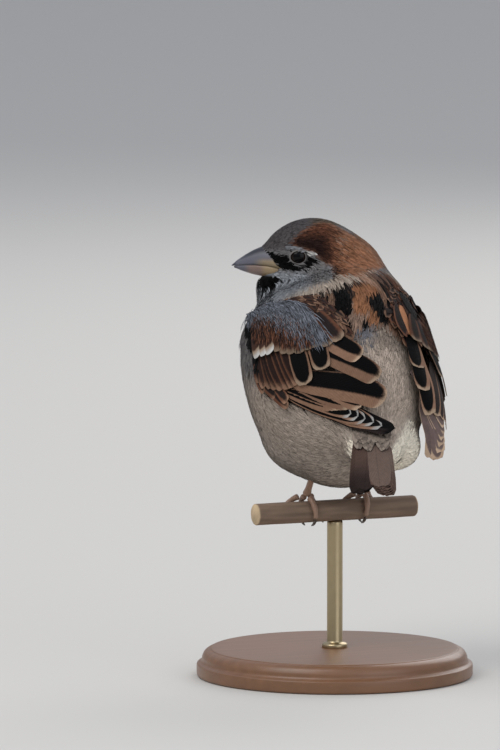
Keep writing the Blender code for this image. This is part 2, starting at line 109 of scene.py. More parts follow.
STRAIGHT = np.array([[0, -1.0, 0], [1.0, 0, 0], [0, 0, 1.0]])
MASSES = [  # centre, radii forward, left, up, axes, blend width
    ((0.3, 0.7, 93.9), (35.1, 27.7, 30.8), pitched(45), 7),  # barrel of the body
    ((-0.3, -15.0, 102.6), (21.7, 23.0, 23.0), STRAIGHT, 7),  # breast
    ((-4.3, 2.9, 111.1), (16.8, 19.6, 13.2), pitched(40), 7),  # mantle
    ((-1.1, 20.8, 89.4), (16.9, 15.2, 13.0), pitched(50), 7),  # rump
    ((1.0, 31.0, 78.0), (15, 10, 6.5), toward(20, 16), 5),  # vent and undertail coverts
    ((1.0, 30.0, 82.0), (13, 9, 5), toward(22, 24), 5),  # uppertail coverts
    ((-7.5, 27.5, 75.5), (9, 8, 7), STRAIGHT, 5),  # loose feathers beside the vent, on the right
    ((12.4, -2.0, 74.8), (11.6, 8.8, 7.8), STRAIGHT, 5),  # left thigh
    ((-11.8, -1.9, 70.8), (10.4, 8.6, 9.2), STRAIGHT, 5),  # right thigh
    ((-11.5, -10.5, 117.4), (16.2, 15.6, 14.3), STRAIGHT, 9),  # neck
    (at_head((1.6, 0, 2.0)), (14.5, 10.4, 11.4), HF, 3),  # skull
    (at_head((8.6, 0, 0.9)), (8.4, 5.3, 8.1), HF, 3),  # forehead and lores
    (at_head((14.6, 0, 3.2)), (3.9, 3.4, 2.3), HF, 2),  # bristly feathers over the bill's base
    (at_head((3.8, 5.4, -5.0)), (8.6, 5.8, 6.1), HF, 3),  # left cheek
    (at_head((3.8, -5.4, -5.0)), (8.6, 5.8, 6.1), HF, 3),  # right cheek
    (at_head((12.2, 0, -9.5)), (7.7, 7.5, 9.3), HF, 3),  # throat
    (at_head((-6.6, 0, -3.8)), (14.1, 11.7, 12.0), HF, 4),  # nape
]


def field(p):
    """Smooth union: each ellipsoid's distance is k0(k0-1)/k1, joined two at a time by a quadratic blend."""
    total = None
    for centre, radii, axes, blend in MASSES:
        q = (p - np.asarray(centre)) @ axes.T
        r = np.asarray(radii, float)
        k0 = np.linalg.norm(q / r, axis=-1)
        k1 = np.linalg.norm(q / r**2, axis=-1)
        d = k0 * (k0 - 1.0) / np.maximum(k1, 1e-9)
        if total is None:
            total = d
            continue
        h = np.clip(0.5 + 0.5 * (total - d) / blend, 0.0, 1.0)
        total = total * (1 - h) + d * h - blend * h * (1 - h)
    return total


def slope(p):
    """Gradient of the field by central differences, one axis at a time."""
    e = 0.05
    steps = np.eye(3) * e
    return np.stack([field(p + s) - field(p - s) for s in steps], -1) / (2 * e)


def onto(p, level_mm):
    """Points slid along the field's slope until they lie on one level of it."""
    p = np.array(p, float)
    for _ in range(5):  # Newton steps: five are plenty, the field is close to a distance
        g = slope(p)
        step = (field(p) - level_mm) / np.maximum((g * g).sum(-1), 0.05)
        p = p - np.clip(step, -4, 4)[..., None] * g
    return p


# longer than any way out of the body; 0.5 mm steps, halved to 0.03 microns
RAY_REACH, RAY_STEPS, HALVINGS = 62.0, 125, 14


def cast(centre, dirs, level_mm):
    """Where rays from inside first pass one level of the field: coarse steps, then halving."""
    lo = np.zeros(dirs.shape[:-1])
    hi = np.full(lo.shape, RAY_REACH)
    inside = np.ones(lo.shape, bool)
    last = np.zeros(lo.shape)
    for t in np.linspace(0, RAY_REACH, RAY_STEPS)[1:]:
        out = (field(centre + dirs * t) > level_mm) & inside
        hi[out] = t
        lo[out] = last[out]
        inside &= ~out
        last[inside] = t
    for _ in range(HALVINGS):
        mid = (lo + hi) / 2
        out = field(centre + dirs * mid[..., None]) > level_mm
        lo, hi = np.where(out, lo, mid), np.where(out, mid, hi)
    return centre + dirs * ((lo + hi) / 2)[..., None]


def own_points(o):
    """A mesh's points in mm."""
    co = np.empty(len(o.data.vertices) * 3, np.float32)
    o.data.vertices.foreach_get("co", co)
    return co.reshape(-1, 3).astype(float) / MM


print("CAD trunk stands out of the outline by", field(own_points(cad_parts["trunk"])).max().round(2), "mm at most")

# %% [markdown]
# ## One chart for skin and coat
# Feathers lie in rows from the bill back to the tail. So the whole body is one grid: `s` runs from the
# bill to the tail root, `t` round the body from the back, over the left side, to the belly. The head part
# is a fan of rays that opens from the bill to the neck ring, the trunk is swept by planes that turn from
# the neck to the tail, and a last fan closes the tail root. Lines of constant `t` are the lie of the coat.

# %% The chart: centres and rays for every place on the body
def turn(a, b, k):
    """Directions on the great circle from a (k=0) to b (k=1)."""
    w = np.arccos(np.clip((a * b).sum(-1, keepdims=True), -1, 1))
    sw = np.maximum(np.sin(w), 1e-6)
    return (a * np.sin((1 - k) * w) + b * np.sin(k * w)) / sw


def ease(x):
    """0 below 0, 1 above 1, with a smooth slope between."""
    x = np.clip(x, 0, 1)
    return x * x * (3 - 2 * x)


def smooth_path(points, k):
    """Catmull-Rom curve through the points, read at k from 0 to 1."""
    p = np.asarray(points, float)
    p = np.vstack([2 * p[0] - p[1], p, 2 * p[-1] - p[-2]])
    x = np.clip(np.asarray(k, float), 0, 1) * (len(p) - 3) * (1 - 1e-9)
    i = x.astype(int)
    u = (x - i)[..., None]
    a, b, c, d = p[i], p[i + 1], p[i + 2], p[i + 3]
    return 0.5 * (2 * b + (c - a) * u + (2 * a - 5 * b + 4 * c - d) * u**2 + (3 * b - a - 3 * c + d) * u**3)


NECK_UP = unit((0.10, -0.34, 0.94))
TAIL_DIR = toward(20, 18)[0]
SPINE = [(-6, -14, 118), (-2.5, -6, 106), (0, 2, 95), (0.6, 12, 88), (0.9, 23, 83), (1.6, 32, 79.8), (3.2, 38.2, 77.3)]
NECK_TWIST = np.radians(10.0)
HEAD_HUB = at_head((0.5, 0, -0.5))
NECK_AIM = np.tan(np.radians(118) / 2)  # the neck leaves the head 118 degrees from the bill, round by the chin
ROWS_HEAD, ROWS_TRUNK, ROWS_TAIL, COLS = 64, 96, 16, 180
ROWS = ROWS_HEAD + ROWS_TRUNK + ROWS_TAIL
S_NECK, S_CAP = ROWS_HEAD / (ROWS - 1), (ROWS_HEAD + ROWS_TRUNK) / (ROWS - 1)


def head_fan(ring, k):
    """Rays from the bill to the neck ring along circles through both poles: a stereographic map with one pole moved."""
    local = ring @ HF.T
    z = (local[:, 2] + 1j * local[:, 1]) / (1 + local[:, 0])
    w = z / (1 + z / NECK_AIM)
    ang = np.unwrap(np.angle(w))
    ang += -2 * np.pi * np.round(ang.mean() / (2 * np.pi) - 0.5)
    even = np.linspace(0, 2 * np.pi, len(ring), endpoint=False)
    even = even + (ang - even).mean()
    far = 2 * np.arctan(np.abs(w))
    w = np.tan(k * far / 2) * np.exp(1j * (even + (ang - even) * ease(k)))
    z = w / (1 - w / NECK_AIM)
    z2 = np.abs(z) ** 2
    local = np.stack([(1 - z2) / (1 + z2), 2 * z.imag / (1 + z2), 2 * z.real / (1 + z2)], -1)
    return local @ HF


def chart_surface(depth_row):
    """Grid of points: the field's level minus depth_row along the rays of the three parts."""
    ang = np.linspace(0, 2 * np.pi, COLS, endpoint=False)
    k = np.linspace(0, 1, ROWS_TRUNK)[:, None]
    normal = turn(-NECK_UP[None], TAIL_DIR[None], k)
    back = unit((1 - k) * np.array([0, 1, 0.15]) + k * np.array([0, 0.1, 1.0]))
    back = unit(back - normal * (back * normal).sum(-1, keepdims=True))
    left = np.cross(normal, back)
    twist = NECK_TWIST * (1 - ease(k / 0.4))
    hub = smooth_path(SPINE, k[:, 0])
    rays = back[:, None] * np.cos(ang - twist)[..., None] + left[:, None] * np.sin(ang - twist)[..., None]
    deep = depth_row[ROWS_HEAD : ROWS_HEAD + ROWS_TRUNK, None]
    trunk = cast(hub[:, None] + 0 * rays, rays, -deep)
    ring = unit(trunk[0] - HEAD_HUB)
    k = np.linspace(0, 1, ROWS_HEAD, endpoint=False)[:, None]
    rays = head_fan(ring, 0.02 + 0.98 * k)
    head = cast(HEAD_HUB + 0 * rays, rays, -depth_row[:ROWS_HEAD, None])
    k = (np.arange(1, ROWS_TAIL + 1) / ROWS_TAIL)[:, None, None]
    rays = turn(unit(trunk[-1] - hub[-1])[None], np.broadcast_to(TAIL_DIR, ring.shape)[None], 0.97 * k)
    cap = cast(hub[-1] + 0 * rays, rays, -depth_row[ROWS_HEAD + ROWS_TRUNK :, None])
    return np.concatenate([head, trunk, cap])


s_rows = np.linspace(0, 1, ROWS)
COAT_DEPTH = np.interp(s_rows, [0, 0.1, 0.2, S_NECK, 0.45, 0.8, S_CAP, 1], [0.6, 0.8, 1.3, 2.2, 3.2, 3.0, 2.2, 1.4])
outer_grid = chart_surface(np.zeros(ROWS))
NECK_SOFT, NECK_ROUNDS = 11.0, 60  # rows either side of the neck, and rounds, over which the crease is smoothed
soft_rows = np.exp(-(((np.arange(ROWS) - ROWS_HEAD) / NECK_SOFT) ** 2))[1:-1, None, None]
for _ in range(NECK_ROUNDS):
    middle = (outer_grid[:-2] + outer_grid[2:]) / 2
    outer_grid[1:-1] += 0.5 * soft_rows * (middle - outer_grid[1:-1])
outer_grid = onto(outer_grid, 0.0)

# %% Reading places off a grid
class Chart:
    """Surface points on a grid, read at fractional places: point, outward normal and the two step vectors."""

    def __init__(self, points, wrap, outward):
        da = np.gradient(points, axis=0)
        db = (np.roll(points, -1, 1) - np.roll(points, 1, 1)) / 2 if wrap else np.gradient(points, axis=1)
        n = unit(np.cross(da, db))
        n *= np.sign((n * outward(points)).sum(-1).mean())
        self.wrap, self.shape = wrap, points.shape[:2]
        self.all = np.concatenate([points, n, da, db], -1)

    def read(self, a, b):
        na, nb = self.shape
        a = np.clip(a, 0, na - 1.001)
        b = b % nb if self.wrap else np.clip(b, 0, nb - 1.001)
        i, j = a.astype(int), b.astype(int) % nb
        k = (j + 1) % nb
        u, v = (a - i)[..., None], (b - np.floor(b))[..., None]
        m = (self.all[i, j] * (1 - v) + self.all[i, k] * v) * (1 - u)
        m += (self.all[i + 1, j] * (1 - v) + self.all[i + 1, k] * v) * u
        return m[..., :3], unit(m[..., 3:6]), m[..., 6:9], m[..., 9:]


def steps_for(da, db, move):
    """Chart steps (in a, in b) that make a small move on the surface: two normal equations."""
    aa, bb, ab = (da * da).sum(-1) + 1e-6, (db * db).sum(-1) + 1e-6, (da * db).sum(-1)
    ra, rb = (move * da).sum(-1), (move * db).sum(-1)
    det = np.maximum(aa * bb - ab * ab, 1e-6)
    return (ra * bb - rb * ab) / det, (rb * aa - ra * ab) / det


body = Chart(outer_grid, True, slope)
skin_grid = onto(outer_grid - body.all[..., 3:6] * COAT_DEPTH[:, None, None], -COAT_DEPTH[:, None])
skin_deep = np.linalg.norm(outer_grid - skin_grid, axis=-1)
print("chart", outer_grid.shape, "skin lies", skin_deep.min().round(2), "to", skin_deep.max().round(2),
      "mm inside the outline")

# %% [markdown]
# ## Colours of a winter male
# Plumage colour is pigment laid in the vane, so each feather carries an edge tint, a centre tint and the
# size of its dark centre. The tints come from named marks: crown, chestnut side, lores, bib, neck stripe,
# mantle streaks. Skin and coat read the same functions, so a gap never shows a foreign colour.
# Some marks of the trunk, and the skin's darker tint between feathers, are painted shade, not pigment.

# %% Tints and marks
def tint(r, g, b):
    """A display colour, 0 to 255, as the linear value that shaders take."""
    c = np.array([r, g, b]) / 255.0
    return np.where(c <= 0.04045, c / 12.92, ((c + 0.055) / 1.055) ** 2.4)


INK, SOOT = tint(6, 6, 7), tint(36, 29, 28)
CROWN, CROWN_TOP, CHESTNUT, CHESTNUT_DARK = tint(83, 79, 80), tint(90, 78, 66), tint(158, 110, 82), tint(40, 26, 23)
CHESTNUT_MID = tint(104, 66, 49)
EAR, CHEEK, STRIPE, PALE = tint(116, 114, 114), tint(150, 154, 159), tint(190, 174, 158), tint(214, 212, 208)
MANTLE, BUFF, SAND = tint(128, 98, 80), tint(162, 112, 80), tint(196, 172, 150)
RUMP, BELLY, FLANK, CREAM = tint(204, 186, 170), tint(170, 158, 147), tint(168, 154, 142), tint(252, 242, 222)
RUFOUS, RUFOUS_DARK, QUILL, TAIL_EDGE = tint(100, 66, 50), tint(66, 44, 36), tint(48, 40, 38), tint(160, 136, 122)
SLATE, FRINGE, FRINGE_TIP = tint(112, 118, 130), tint(140, 108, 88), tint(186, 160, 136)


def within(corners, x, y):
    """Signed distance to a closed outline, positive inside: nearest edge for the size, crossings for the sign."""
    c = np.array(corners, float)
    d = np.roll(c, -1, 0) - c
    q = np.stack([x, y], -1)[..., None, :] - c
    t = np.clip((q * d).sum(-1) / (d * d).sum(-1), 0, 1)
    far = np.linalg.norm(q - d * t[..., None], axis=-1).min(-1)
    y0, y1 = c[:, 1], np.roll(c[:, 1], -1)
    yy, xx = y[..., None], x[..., None]
    hit = ((y0 > yy) != (y1 > yy)) & (xx < c[:, 0] + (yy - y0) / np.where(y1 == y0, 1e-9, y1 - y0) * d[:, 0])
    return np.where(hit.sum(-1) % 2 == 1, far, -far)


def near(line, x, y):
    """Distance to an open line of points."""
    c = np.array(line, float)
    d = c[1:] - c[:-1]
    q = np.stack([x, y], -1)[..., None, :] - c[:-1]
    t = np.clip((q * d).sum(-1) / (d * d).sum(-1), 0, 1)
    return np.linalg.norm(q - d * t[..., None], axis=-1).min(-1)


def paint(base, colour, amount):
    """Lay a colour over the base by an amount from 0 to 1."""
    k = np.clip(amount, 0, 1)[..., None]
    return base * (1 - k) + np.asarray(colour) * k


def plain(colour, like):
    """One colour for every row of another array."""
    return np.broadcast_to(colour, (len(like), 3)).copy()

# %% Marks of the head
# side outlines: forward and up of the head's centre, in mm
CHESTNUT_SIDE = [(8.0, 6.5), (6.7, 8.0), (4.0, 10.2), (0.2, 11.8), (-4.2, 12.6), (-7.4, 12.3), (-12, 10.2),
                 (-16.5, 6.0), (-22.0, 0.4), (-21.0, -1.8), (-16.6, -2.3), (-10.6, -4.7), (-6.0, -6.6), (-5.0, -4.0),
                 (-4.6, -0.6), (-1.3, 0.6), (0.2, 2.6), (1.2, 3.6), (4.4, 4.8), (6.4, 5.4)]
BLACK_FACE = [(18.8, 5.0), (14.2, 3.6), (12.0, 2.8), (9.2, 2.8), (8.9, 0.6), (6.0, -0.8), (3.5, 0.0), (2.9, 2.1),
              (0.9, 1.7), (-0.8, 0.5), (3.4, -1.9), (7.2, -2.8), (11.0, -2.8), (12.6, -1.4), (13.6, -0.2),
              (17.0, 2.2)]
EAR_REAR = [(-3.9, -5.8), (-5.4, -3.4), (-5.6, -1.0)]
NECK_STRIPE = [(2.3, -11.8), (-4.2, -8.8), (-10.6, -6.0), (-16.1, -3.6)]
BIB_SIDE = [(40, -3.6), (13.4, -4.2), (12.6, -5.2), (14.0, -8.2), (14.6, -12.6), (15.0, -18), (40, -22)]
SUPRALORAL = [(9.6, 5.1), (7.4, 4.9), (4.6, 4.4)]
REAR_SPOT = [(2.7, 3.4), (0.8, 2.9)]


def bib_share(p):
    """How much of the plumage is black: all of it under the bill, then streaks down to the breast."""
    q = to_head(p)
    f, side, u = q[..., 0], np.abs(q[..., 1]), q[..., 2]
    share = np.maximum(ease(0.5 + within(BIB_SIDE, f, u) / 1.0),
                       ease((6.0 - side) / 2.0) * ease((f - 9.0) / 2.0) * ease((-4.6 - u) / 1.0))
    return share * ease((u + 30) / 8) * (0.62 + 0.38 * ease((u + 9.0) / 1.5))


def head_tint(p, pick=None):
    """Colour of the head's plumage at points in world mm; pick (0 to 1 for each point) turns shares into streaks."""
    q = to_head(p)
    f, side, u = q[..., 0], np.abs(q[..., 1]), q[..., 2]
    out = ease((side - 2.0) / 2.0)
    c = np.broadcast_to(EAR, p.shape).copy()
    c = paint(c, CHEEK, ease((f - 0.5) / 5.0) * ease((-1.5 - u) / 3.0))
    c = paint(c, CHEEK * 1.15, 0.8 * ease((-5.0 - u) / 3.0))
    c = paint(c, STRIPE, ease((2.5 - near(NECK_STRIPE, f, u)) / 1.4) * out)
    c = paint(c, CROWN, ease((u - 3.2) / 2.0) * ease((f + 3) / 2))
    c = paint(c, CROWN_TOP, ease((u - 10.4) / 1.6) * ease((3.5 - f) / 5.0))
    c = paint(c, CROWN_TOP, ease((-9 - f) / 4) * ease((u - 0.5) / 2))
    chestnut = ease(0.5 + within(CHESTNUT_SIDE, f, u) / 1.6)
    chestnut *= np.maximum(ease((side - 2.2) / 2.6), 0.7 * ease((-10.0 - f) / 4.0))
    c = paint(c, CHESTNUT, chestnut)
    c = paint(c, CHESTNUT_MID, chestnut * ease((f + 11.0) / 9.0))
    c = paint(c, CHESTNUT_DARK, chestnut * ease((f + 6.0) / 5.0) * ease((10.8 - u) / 4.0))
    if pick is not None:
        c = paint(c, CHESTNUT_DARK, 0.75 * chestnut * (pick > 0.70) * ease((f + 16) / 8))
        c = paint(c, STRIPE * 0.5, 0.5 * chestnut * (pick < 0.12) * ease((-4 - f) / 3))
    c = paint(c, CHESTNUT_DARK, 0.9 * ease((1.0 - near(EAR_REAR, f, u)) / 0.7) * out)
    c = paint(c, CHEEK, ease((0.8 - near(SUPRALORAL, f, u)) / 0.7) * out * 0.7)
    c = paint(c, PALE * 0.8, ease((0.75 - near(REAR_SPOT, f, u)) / 0.6) * out)
    face = ease(0.5 + (within(BLACK_FACE, f, u) - 0.35) / (0.7 if pick is None else 1.8))
    c = paint(c, INK, ease((side - 1.0) / 1.0) * (face if pick is None else (face > 0.15 + 0.6 * pick)))
    bib = bib_share(p)
    return paint(c, INK, bib if pick is None else (bib > pick) * 1.0)

# %% Marks of the mantle and colours of the trunk
def around(a, b):
    """Angle round the trunk from the middle of the back, left positive, with the neck's twist taken off."""
    k = np.clip((a - ROWS_HEAD) / ROWS_TRUNK, 0, 1)
    phi = b * 360.0 / COLS - np.degrees(NECK_TWIST) * (1 - ease(k / 0.4))
    return (phi + 180) % 360 - 180, k


def from_around(phi, k):
    """Chart place (a, b) of an angle round the trunk and a share of its length."""
    b = (np.asarray(phi) + np.degrees(NECK_TWIST) * (1 - ease(np.asarray(k) / 0.4))) / 360.0 * COLS
    return ROWS_HEAD + np.asarray(k) * ROWS_TRUNK + 0 * b, b % COLS


MM_PER_DEGREE, TRUNK_MM = 0.36, 78.0  # across the mantle and down the trunk
# marks of the mantle: (to the left of its middle, down it) in mm, half width in mm, tint
MANTLE_FIELD = [(15.5, 4.6), (10.7, 3.4), (7.6, 2.8), (3.4, 1.2), (-1.2, 0.2), (-4.0, -2.0), (-13.4, -2.0),
                (-20.8, 3), (-23, 16), (-14, 24.5), (-7.4, 25.5), (-4.4, 20.5), (0.2, 21), (4.6, 26.5), (9.5, 21),
                (13, 13.5), (16.5, 8)]
MANTLE_MARKS = [([(8.7, 4.8), (8.5, 20.5)], 2.3, tint(118, 92, 76)),
                ([(0.7, 2.2), (1.6, 14), (3.0, 26)], 2.6, tint(140, 115, 100)),
                ([(0.4, 2.4), (1.2, 12.5)], 2.2, BUFF * 0.8), ([(-3.8, 1.6), (-2.4, 8)], 1.8, BUFF * 0.8),
                ([(-1.8, 13.5), (-1.3, 18.5)], 1.4, BUFF * 0.8), ([(12.6, 5.0), (12.2, 10.5)], 1.5, BUFF),
                ([(-10.6, 0), (-7.6, 19)], 2.0, RUFOUS), ([(-14.3, 1), (-12.4, 15)], 1.9, RUFOUS),
                ([(-17, 3.5), (-17, 16)], 2.2, RUFOUS), ([(-10.5, 15.2), (-13.5, 22.5)], 1.5, BUFF),
                ([(10.5, 3.6), (10.8, 13)], 0.8, INK),
                ([(15.5, 4.5), (10.7, 3.6), (7.6, 3.1), (3.4, 1.6), (-1.2, 0.8)], 0.55, SOOT),
                ([(5.9, 2.4), (5.7, 12)], 2.0, INK), ([(5.7, 12), (5.2, 25)], 1.2, INK),
                ([(0.6, 18.4), (1.5, 27)], 0.85, INK), ([(-1.8, 7.6), (-4.2, 18.3)], 1.5, INK),
                ([(-3.9, 6.0), (-4.4, 17.5)], 1.2, INK), ([(-7.9, -1), (-6.9, 13)], 0.8, INK),
                ([(-1.6, -2.0), (-4.6, 0.4)], 1.6, tint(156, 124, 104)),
                ([(-8.0, -2.0), (-10.5, 0.5)], 2.2, tint(108, 82, 70)), ([(-9.9, -1), (-9.3, 17)], 0.5, INK),
                ([(-12.3, 0.5), (-10.8, 19)], 0.5, INK), ([(-15.8, 2.5), (-14.6, 20)], 0.6, INK),
                ([(-12.6, 8.0), (-20.6, 15.2)], 0.5, INK), ([(3.2, 2.6), (3.4, 8)], 0.6, SOOT)]


def body_tint(a, b, p, pick=None):
    """Colour of trunk plumage from chart place and world point."""
    phi, k = around(a, b)
    wide = np.abs(phi)
    x, y = MM_PER_DEGREE * phi, TRUNK_MM * k
    back = ease((66 - wide) / 18)
    c = paint(np.broadcast_to(BELLY, p.shape).copy(), FLANK, ease((140 - wide) / 40))
    c = paint(c, tint(124, 119, 117), 0.85 * ease((0.40 - k) / 0.25) * ease((wide - 60) / 20))
    c = paint(c, RUMP * 0.8, back)
    # painted shade: the back darker toward the front, between the folded wings
    c = paint(c, RUMP * 0.42, back * ease((0.5 - k) / 0.14))
    c = paint(c, SLATE * 0.75, 0.8 * back * ease((0.42 - k) / 0.08) * ease((5.5 - np.abs(x - 3.0)) / 3.0))
    c = paint(c, STRIPE * 0.75, ease((0.05 - k) / 0.03) * ease((62 - wide) / 16))
    in_mantle = ease(0.5 + within(MANTLE_FIELD, x, y) / 1.2)
    c = paint(c, MANTLE, in_mantle)
    for line, half_width, colour in MANTLE_MARKS:
        c = paint(c, colour, in_mantle * ease(0.5 + (half_width - near(line, x, y)) / 0.7))
    bib = 0.6 * bib_share(p) * ease((62 - np.abs(((b * 360.0 / COLS) % 360) - 180)) / 20)
    c = paint(c, SOOT, bib if pick is None else (bib > pick) * 1.0)
    # painted shade: the underside darker from the breast back to the thighs
    c = paint(c, BELLY * 0.72, ease((wide - 120) / 30) * ease((k - 0.3) / 0.2) * ease((0.75 - k) / 0.1))
    # the vent is cream on both sides; it begins later on the left, painted shade of that side
    return paint(c, CREAM, ease((k - np.where(phi > 0, 0.91, 0.70)) / 0.09) * ease((wide - 50) / 22))


def coat_tint(a, b, p, pick=None):
    """Head and trunk colours joined over the nape and throat."""
    mix = ease((a - (ROWS_HEAD - 3)) / 6)[..., None]
    return head_tint(p, pick) * (1 - mix) + body_tint(a, b, p, pick) * mix

# %% [markdown]
# ## One vane, made by the thousand
# A feather is a shaft with a flat vane, wider in the middle, with barbs that part at the tip. Each is a
# thin closed shell: a top grid, an underside, one shared rim. All feathers of a kind are computed at once.
# The root sits deep in the coat and the tip lies on the outline, so every feather tucks under the last.

# %% Feather builder
ROUND = ([0, 0.2, 0.5, 0.75, 0.92, 1], [0.35, 0.7, 1.0, 1.0, 0.8, 0.45])
STRAND = ([0, 0.3, 0.7, 1], [0.55, 1.0, 0.75, 0.1])
FLIGHT = ([0, 0.15, 0.5, 0.8, 0.9, 0.955, 0.985, 1], [0.5, 0.8, 1.0, 0.98, 0.88, 0.68, 0.44, 0.18])


def shell_faces(nu, nv):
    """Faces of one vane: quads on top, quads beneath with their own inner points, the rim shared."""
    top = np.arange((nv + 1) * (nu + 1)).reshape(nv + 1, nu + 1)
    low = top.copy()
    low[1:-1, 1:-1] = top.size + np.arange((nv - 1) * (nu - 1)).reshape(nv - 1, nu - 1)
    quads = []
    for g, flip in ((top, False), (low, True)):
        q = np.stack([g[:-1, :-1], g[:-1, 1:], g[1:, 1:], g[1:, :-1]], -1).reshape(-1, 4)
        quads.append(np.roll(q[:, ::-1], 1, 1) if flip else q)  # the same diagonal, so that a twisted quad stays closed
    return np.concatenate(quads)


def walk(chart, a, b, heading, length, bend, nv):
    """Shaft lines: from each root, steps over the chart along heading (radians from the chart's own lie)."""
    a, b = np.array(a, float), np.array(b, float)
    path, dirs = [(a, b)], []
    for j in range(nv + 1):
        _, n, da, db = chart.read(a, b)
        ahead = unit(da)
        side = np.cross(n, ahead)
        side *= np.sign((side * db).sum(-1, keepdims=True) + 1e-12)
        w = (heading + bend * j / nv)[:, None]
        d = ahead * np.cos(w) + side * np.sin(w)
        dirs.append(d)
        if j < nv:
            x, y = steps_for(da, db, d * (length / nv)[:, None])
            a, b = a + x, b + y
            path.append((a, b))
    return np.array([p[0] for p in path]).T, np.array([p[1] for p in path]).T, np.stack(dirs, 1)


def between(chart, a, b, a1, b1, bow, nv):
    """Shaft lines straight on the chart from root to tip, bowed to one side by a share of the length."""
    y = np.linspace(0, 1, nv + 1)
    side = 4 * y * (1 - y) * np.asarray(bow)[:, None]
    la, lb = a[:, None] + (a1 - a)[:, None] * y, b[:, None] + (b1 - b)[:, None] * y
    la, lb = la - side * (b1 - b)[:, None], lb + side * (a1 - a)[:, None]
    _, _, da, db = chart.read(la, lb)
    ga, gb = np.gradient(la, axis=1)[..., None], np.gradient(lb, axis=1)[..., None]
    return la, lb, unit(da * ga + db * gb)

# %% Feathers of one kind, all at once
def feathers(chart, a, b, width, root, tip, heading=0.0, length=1.0, nu=4, nv=4, bend=0.0, rise=1.5, dome=0.1,
             outline=ROUND, notch=(0,), ragged=0.0, thick=0.07, seed=0, flip=1.0, ends=None, bow=0.0,
             soft=0.75, crowd=1.0):
    """Points of n feathers at once, rooted at a, b of a chart and of that width in mm. The shaft runs along
    heading for length mm with a bend, or to the places in ends with a bow. Height over the chart goes from
    root to tip as 1-(1-y)^rise, less a dome across. The last row is drawn back by the notch pattern and by a
    ragged share, so that barbs part there; rows crowd towards the tip. The shading normals lean by the
    share soft towards the body's own, as down lets light through its edges. flip -1 hangs them underneath.
    Gives points, faces, vane UVs, normals, and where each feather is seen: two thirds along its shaft."""
    n = len(a)
    full = lambda v: np.broadcast_to(np.asarray(v, float), (n,))
    width, root, tip, heading, length, bend, rise = map(full, (width, root, tip, heading, length, bend, rise))
    rng = np.random.default_rng(SEED + seed)
    if ends is None:
        line_a, line_b, dirs = walk(chart, a, b, heading, length, bend, nv)
    else:
        line_a, line_b, dirs = between(chart, a, b, *ends, full(bow), nv)
    x = np.linspace(-1, 1, nu + 1)
    y = 1 - (1 - np.linspace(0, 1, nv + 1)[None, :, None]) ** crowd  # rows crowd together at a rounded tip
    pattern = np.interp(np.linspace(0, 1, nu + 1), np.linspace(0, 1, len(notch)), notch)
    back = pattern[None, None] + ragged * rng.random((n, 1, nu + 1))
    along = np.clip(y - np.minimum(back, 0.48) * y**2, 0, 1)
    t = along * nv
    i = np.minimum(t.astype(int), nv - 1)
    frac = t - i
    row = np.arange(n)[:, None, None]
    ca = line_a[row, i] * (1 - frac) + line_a[row, i + 1] * frac
    cb = line_b[row, i] * (1 - frac) + line_b[row, i + 1] * frac
    d = unit(dirs[row, i] * (1 - frac[..., None]) + dirs[row, i + 1] * frac[..., None])
    _, nn, da, db = chart.read(ca, cb)
    half = np.interp(along, *outline) * width[:, None, None] / 2
    dx, dy = steps_for(da, db, np.cross(nn, d) * (half * x)[..., None])
    p, nn, _, _ = chart.read(ca + dx, cb + dy)
    h = root[:, None, None] + (tip - root)[:, None, None] * (1 - (1 - along) ** rise[:, None, None])
    h = h - dome * half * x**2
    top = p + nn * (h * flip)[..., None]
    j, m = (2 * nv) // 3, nu // 2
    seen = (ca + dx)[:, j, m], (cb + dy)[:, j, m], p[:, j, m]
    low = (p + nn * ((h - thick) * flip)[..., None])[:, 1:-1, 1:-1]
    points = np.concatenate([top.reshape(n, -1, 3), low.reshape(n, -1, 3)], 1)
    own = unit(np.cross(np.gradient(top, axis=2), np.gradient(top, axis=1)))
    shade = nn * flip
    shade = unit(soft * shade + (1 - soft) * own * np.sign((own * shade).sum(-1, keepdims=True)))
    shade = np.concatenate([shade.reshape(n, -1, 3), -shade[:, 1:-1, 1:-1].reshape(n, -1, 3)], 1)
    uv = np.stack([np.broadcast_to((x + 1) / 2, (nv + 1, nu + 1)), np.broadcast_to(y[0], (nv + 1, nu + 1))], -1)
    uv = np.concatenate([uv.reshape(-1, 2), uv[1:-1, 1:-1].reshape(-1, 2)])
    return {"points": points, "faces": shell_faces(nu, nv)[:, :: -1 if flip > 0 else 1], "uv": uv, "n": n,
            "shade": shade, "seen": seen}

# %% Bake places and tints
PATCH = 0.003  # side of a small feather's bake patch


def patches(corner):
    """Bake patches of one size with these lower corners."""
    return lambda made: corner[:, None] + made["uv"][None] * PATCH


def body_patches(a, b):
    """Bake patches for feathers rooted on the body chart: round the body across, bill to tail up."""
    return patches(np.stack([(b % COLS) / COLS * 0.99, np.clip(a / ROWS, 0, 1) * 0.99], -1) + 0.002)


def cells(first, n, across):
    """Bake cells for large feathers: feather k of a sheet gets its own box of a square of boxes."""
    k = first + np.arange(n)
    corner, size = np.stack([k % across, k // across], -1) / across, 0.9 / across
    return lambda made: corner[:, None] + (made["uv"][None] + 0.05) * size


def coloured(made, patch, edge, mid=None, mark=(0.0, 1.0, 0.5), tip=None, lean=0.0, tip_from=0.72):
    """Adds each feather's place on the bake map, its tints and its mark. The tip tint starts at tip_from."""
    n, v = made["points"].shape[:2]
    edge = np.broadcast_to(np.reshape(edge, (-1, 1, 3)), (n, v, 3))
    if tip is not None:
        at_tip = ease((made["uv"][:, 1] - tip_from) / (0.8 * (0.995 - tip_from)))[None, :, None]
        edge = edge * (1 - at_tip) + np.reshape(tip, (-1, 1, 3)) * at_tip
    made["edge"] = edge.reshape(-1, 3)
    made["mid"] = made["edge"] if mid is None else np.repeat(np.broadcast_to(mid, (n, 3)), v, 0)
    made["mark"] = np.repeat(np.broadcast_to(np.asarray(mark, float), (n, 3)), v, 0)
    made["lean"] = np.repeat(np.broadcast_to(np.asarray(lean, float), (n,)), v)
    made["bake"] = patch(made)
    return made

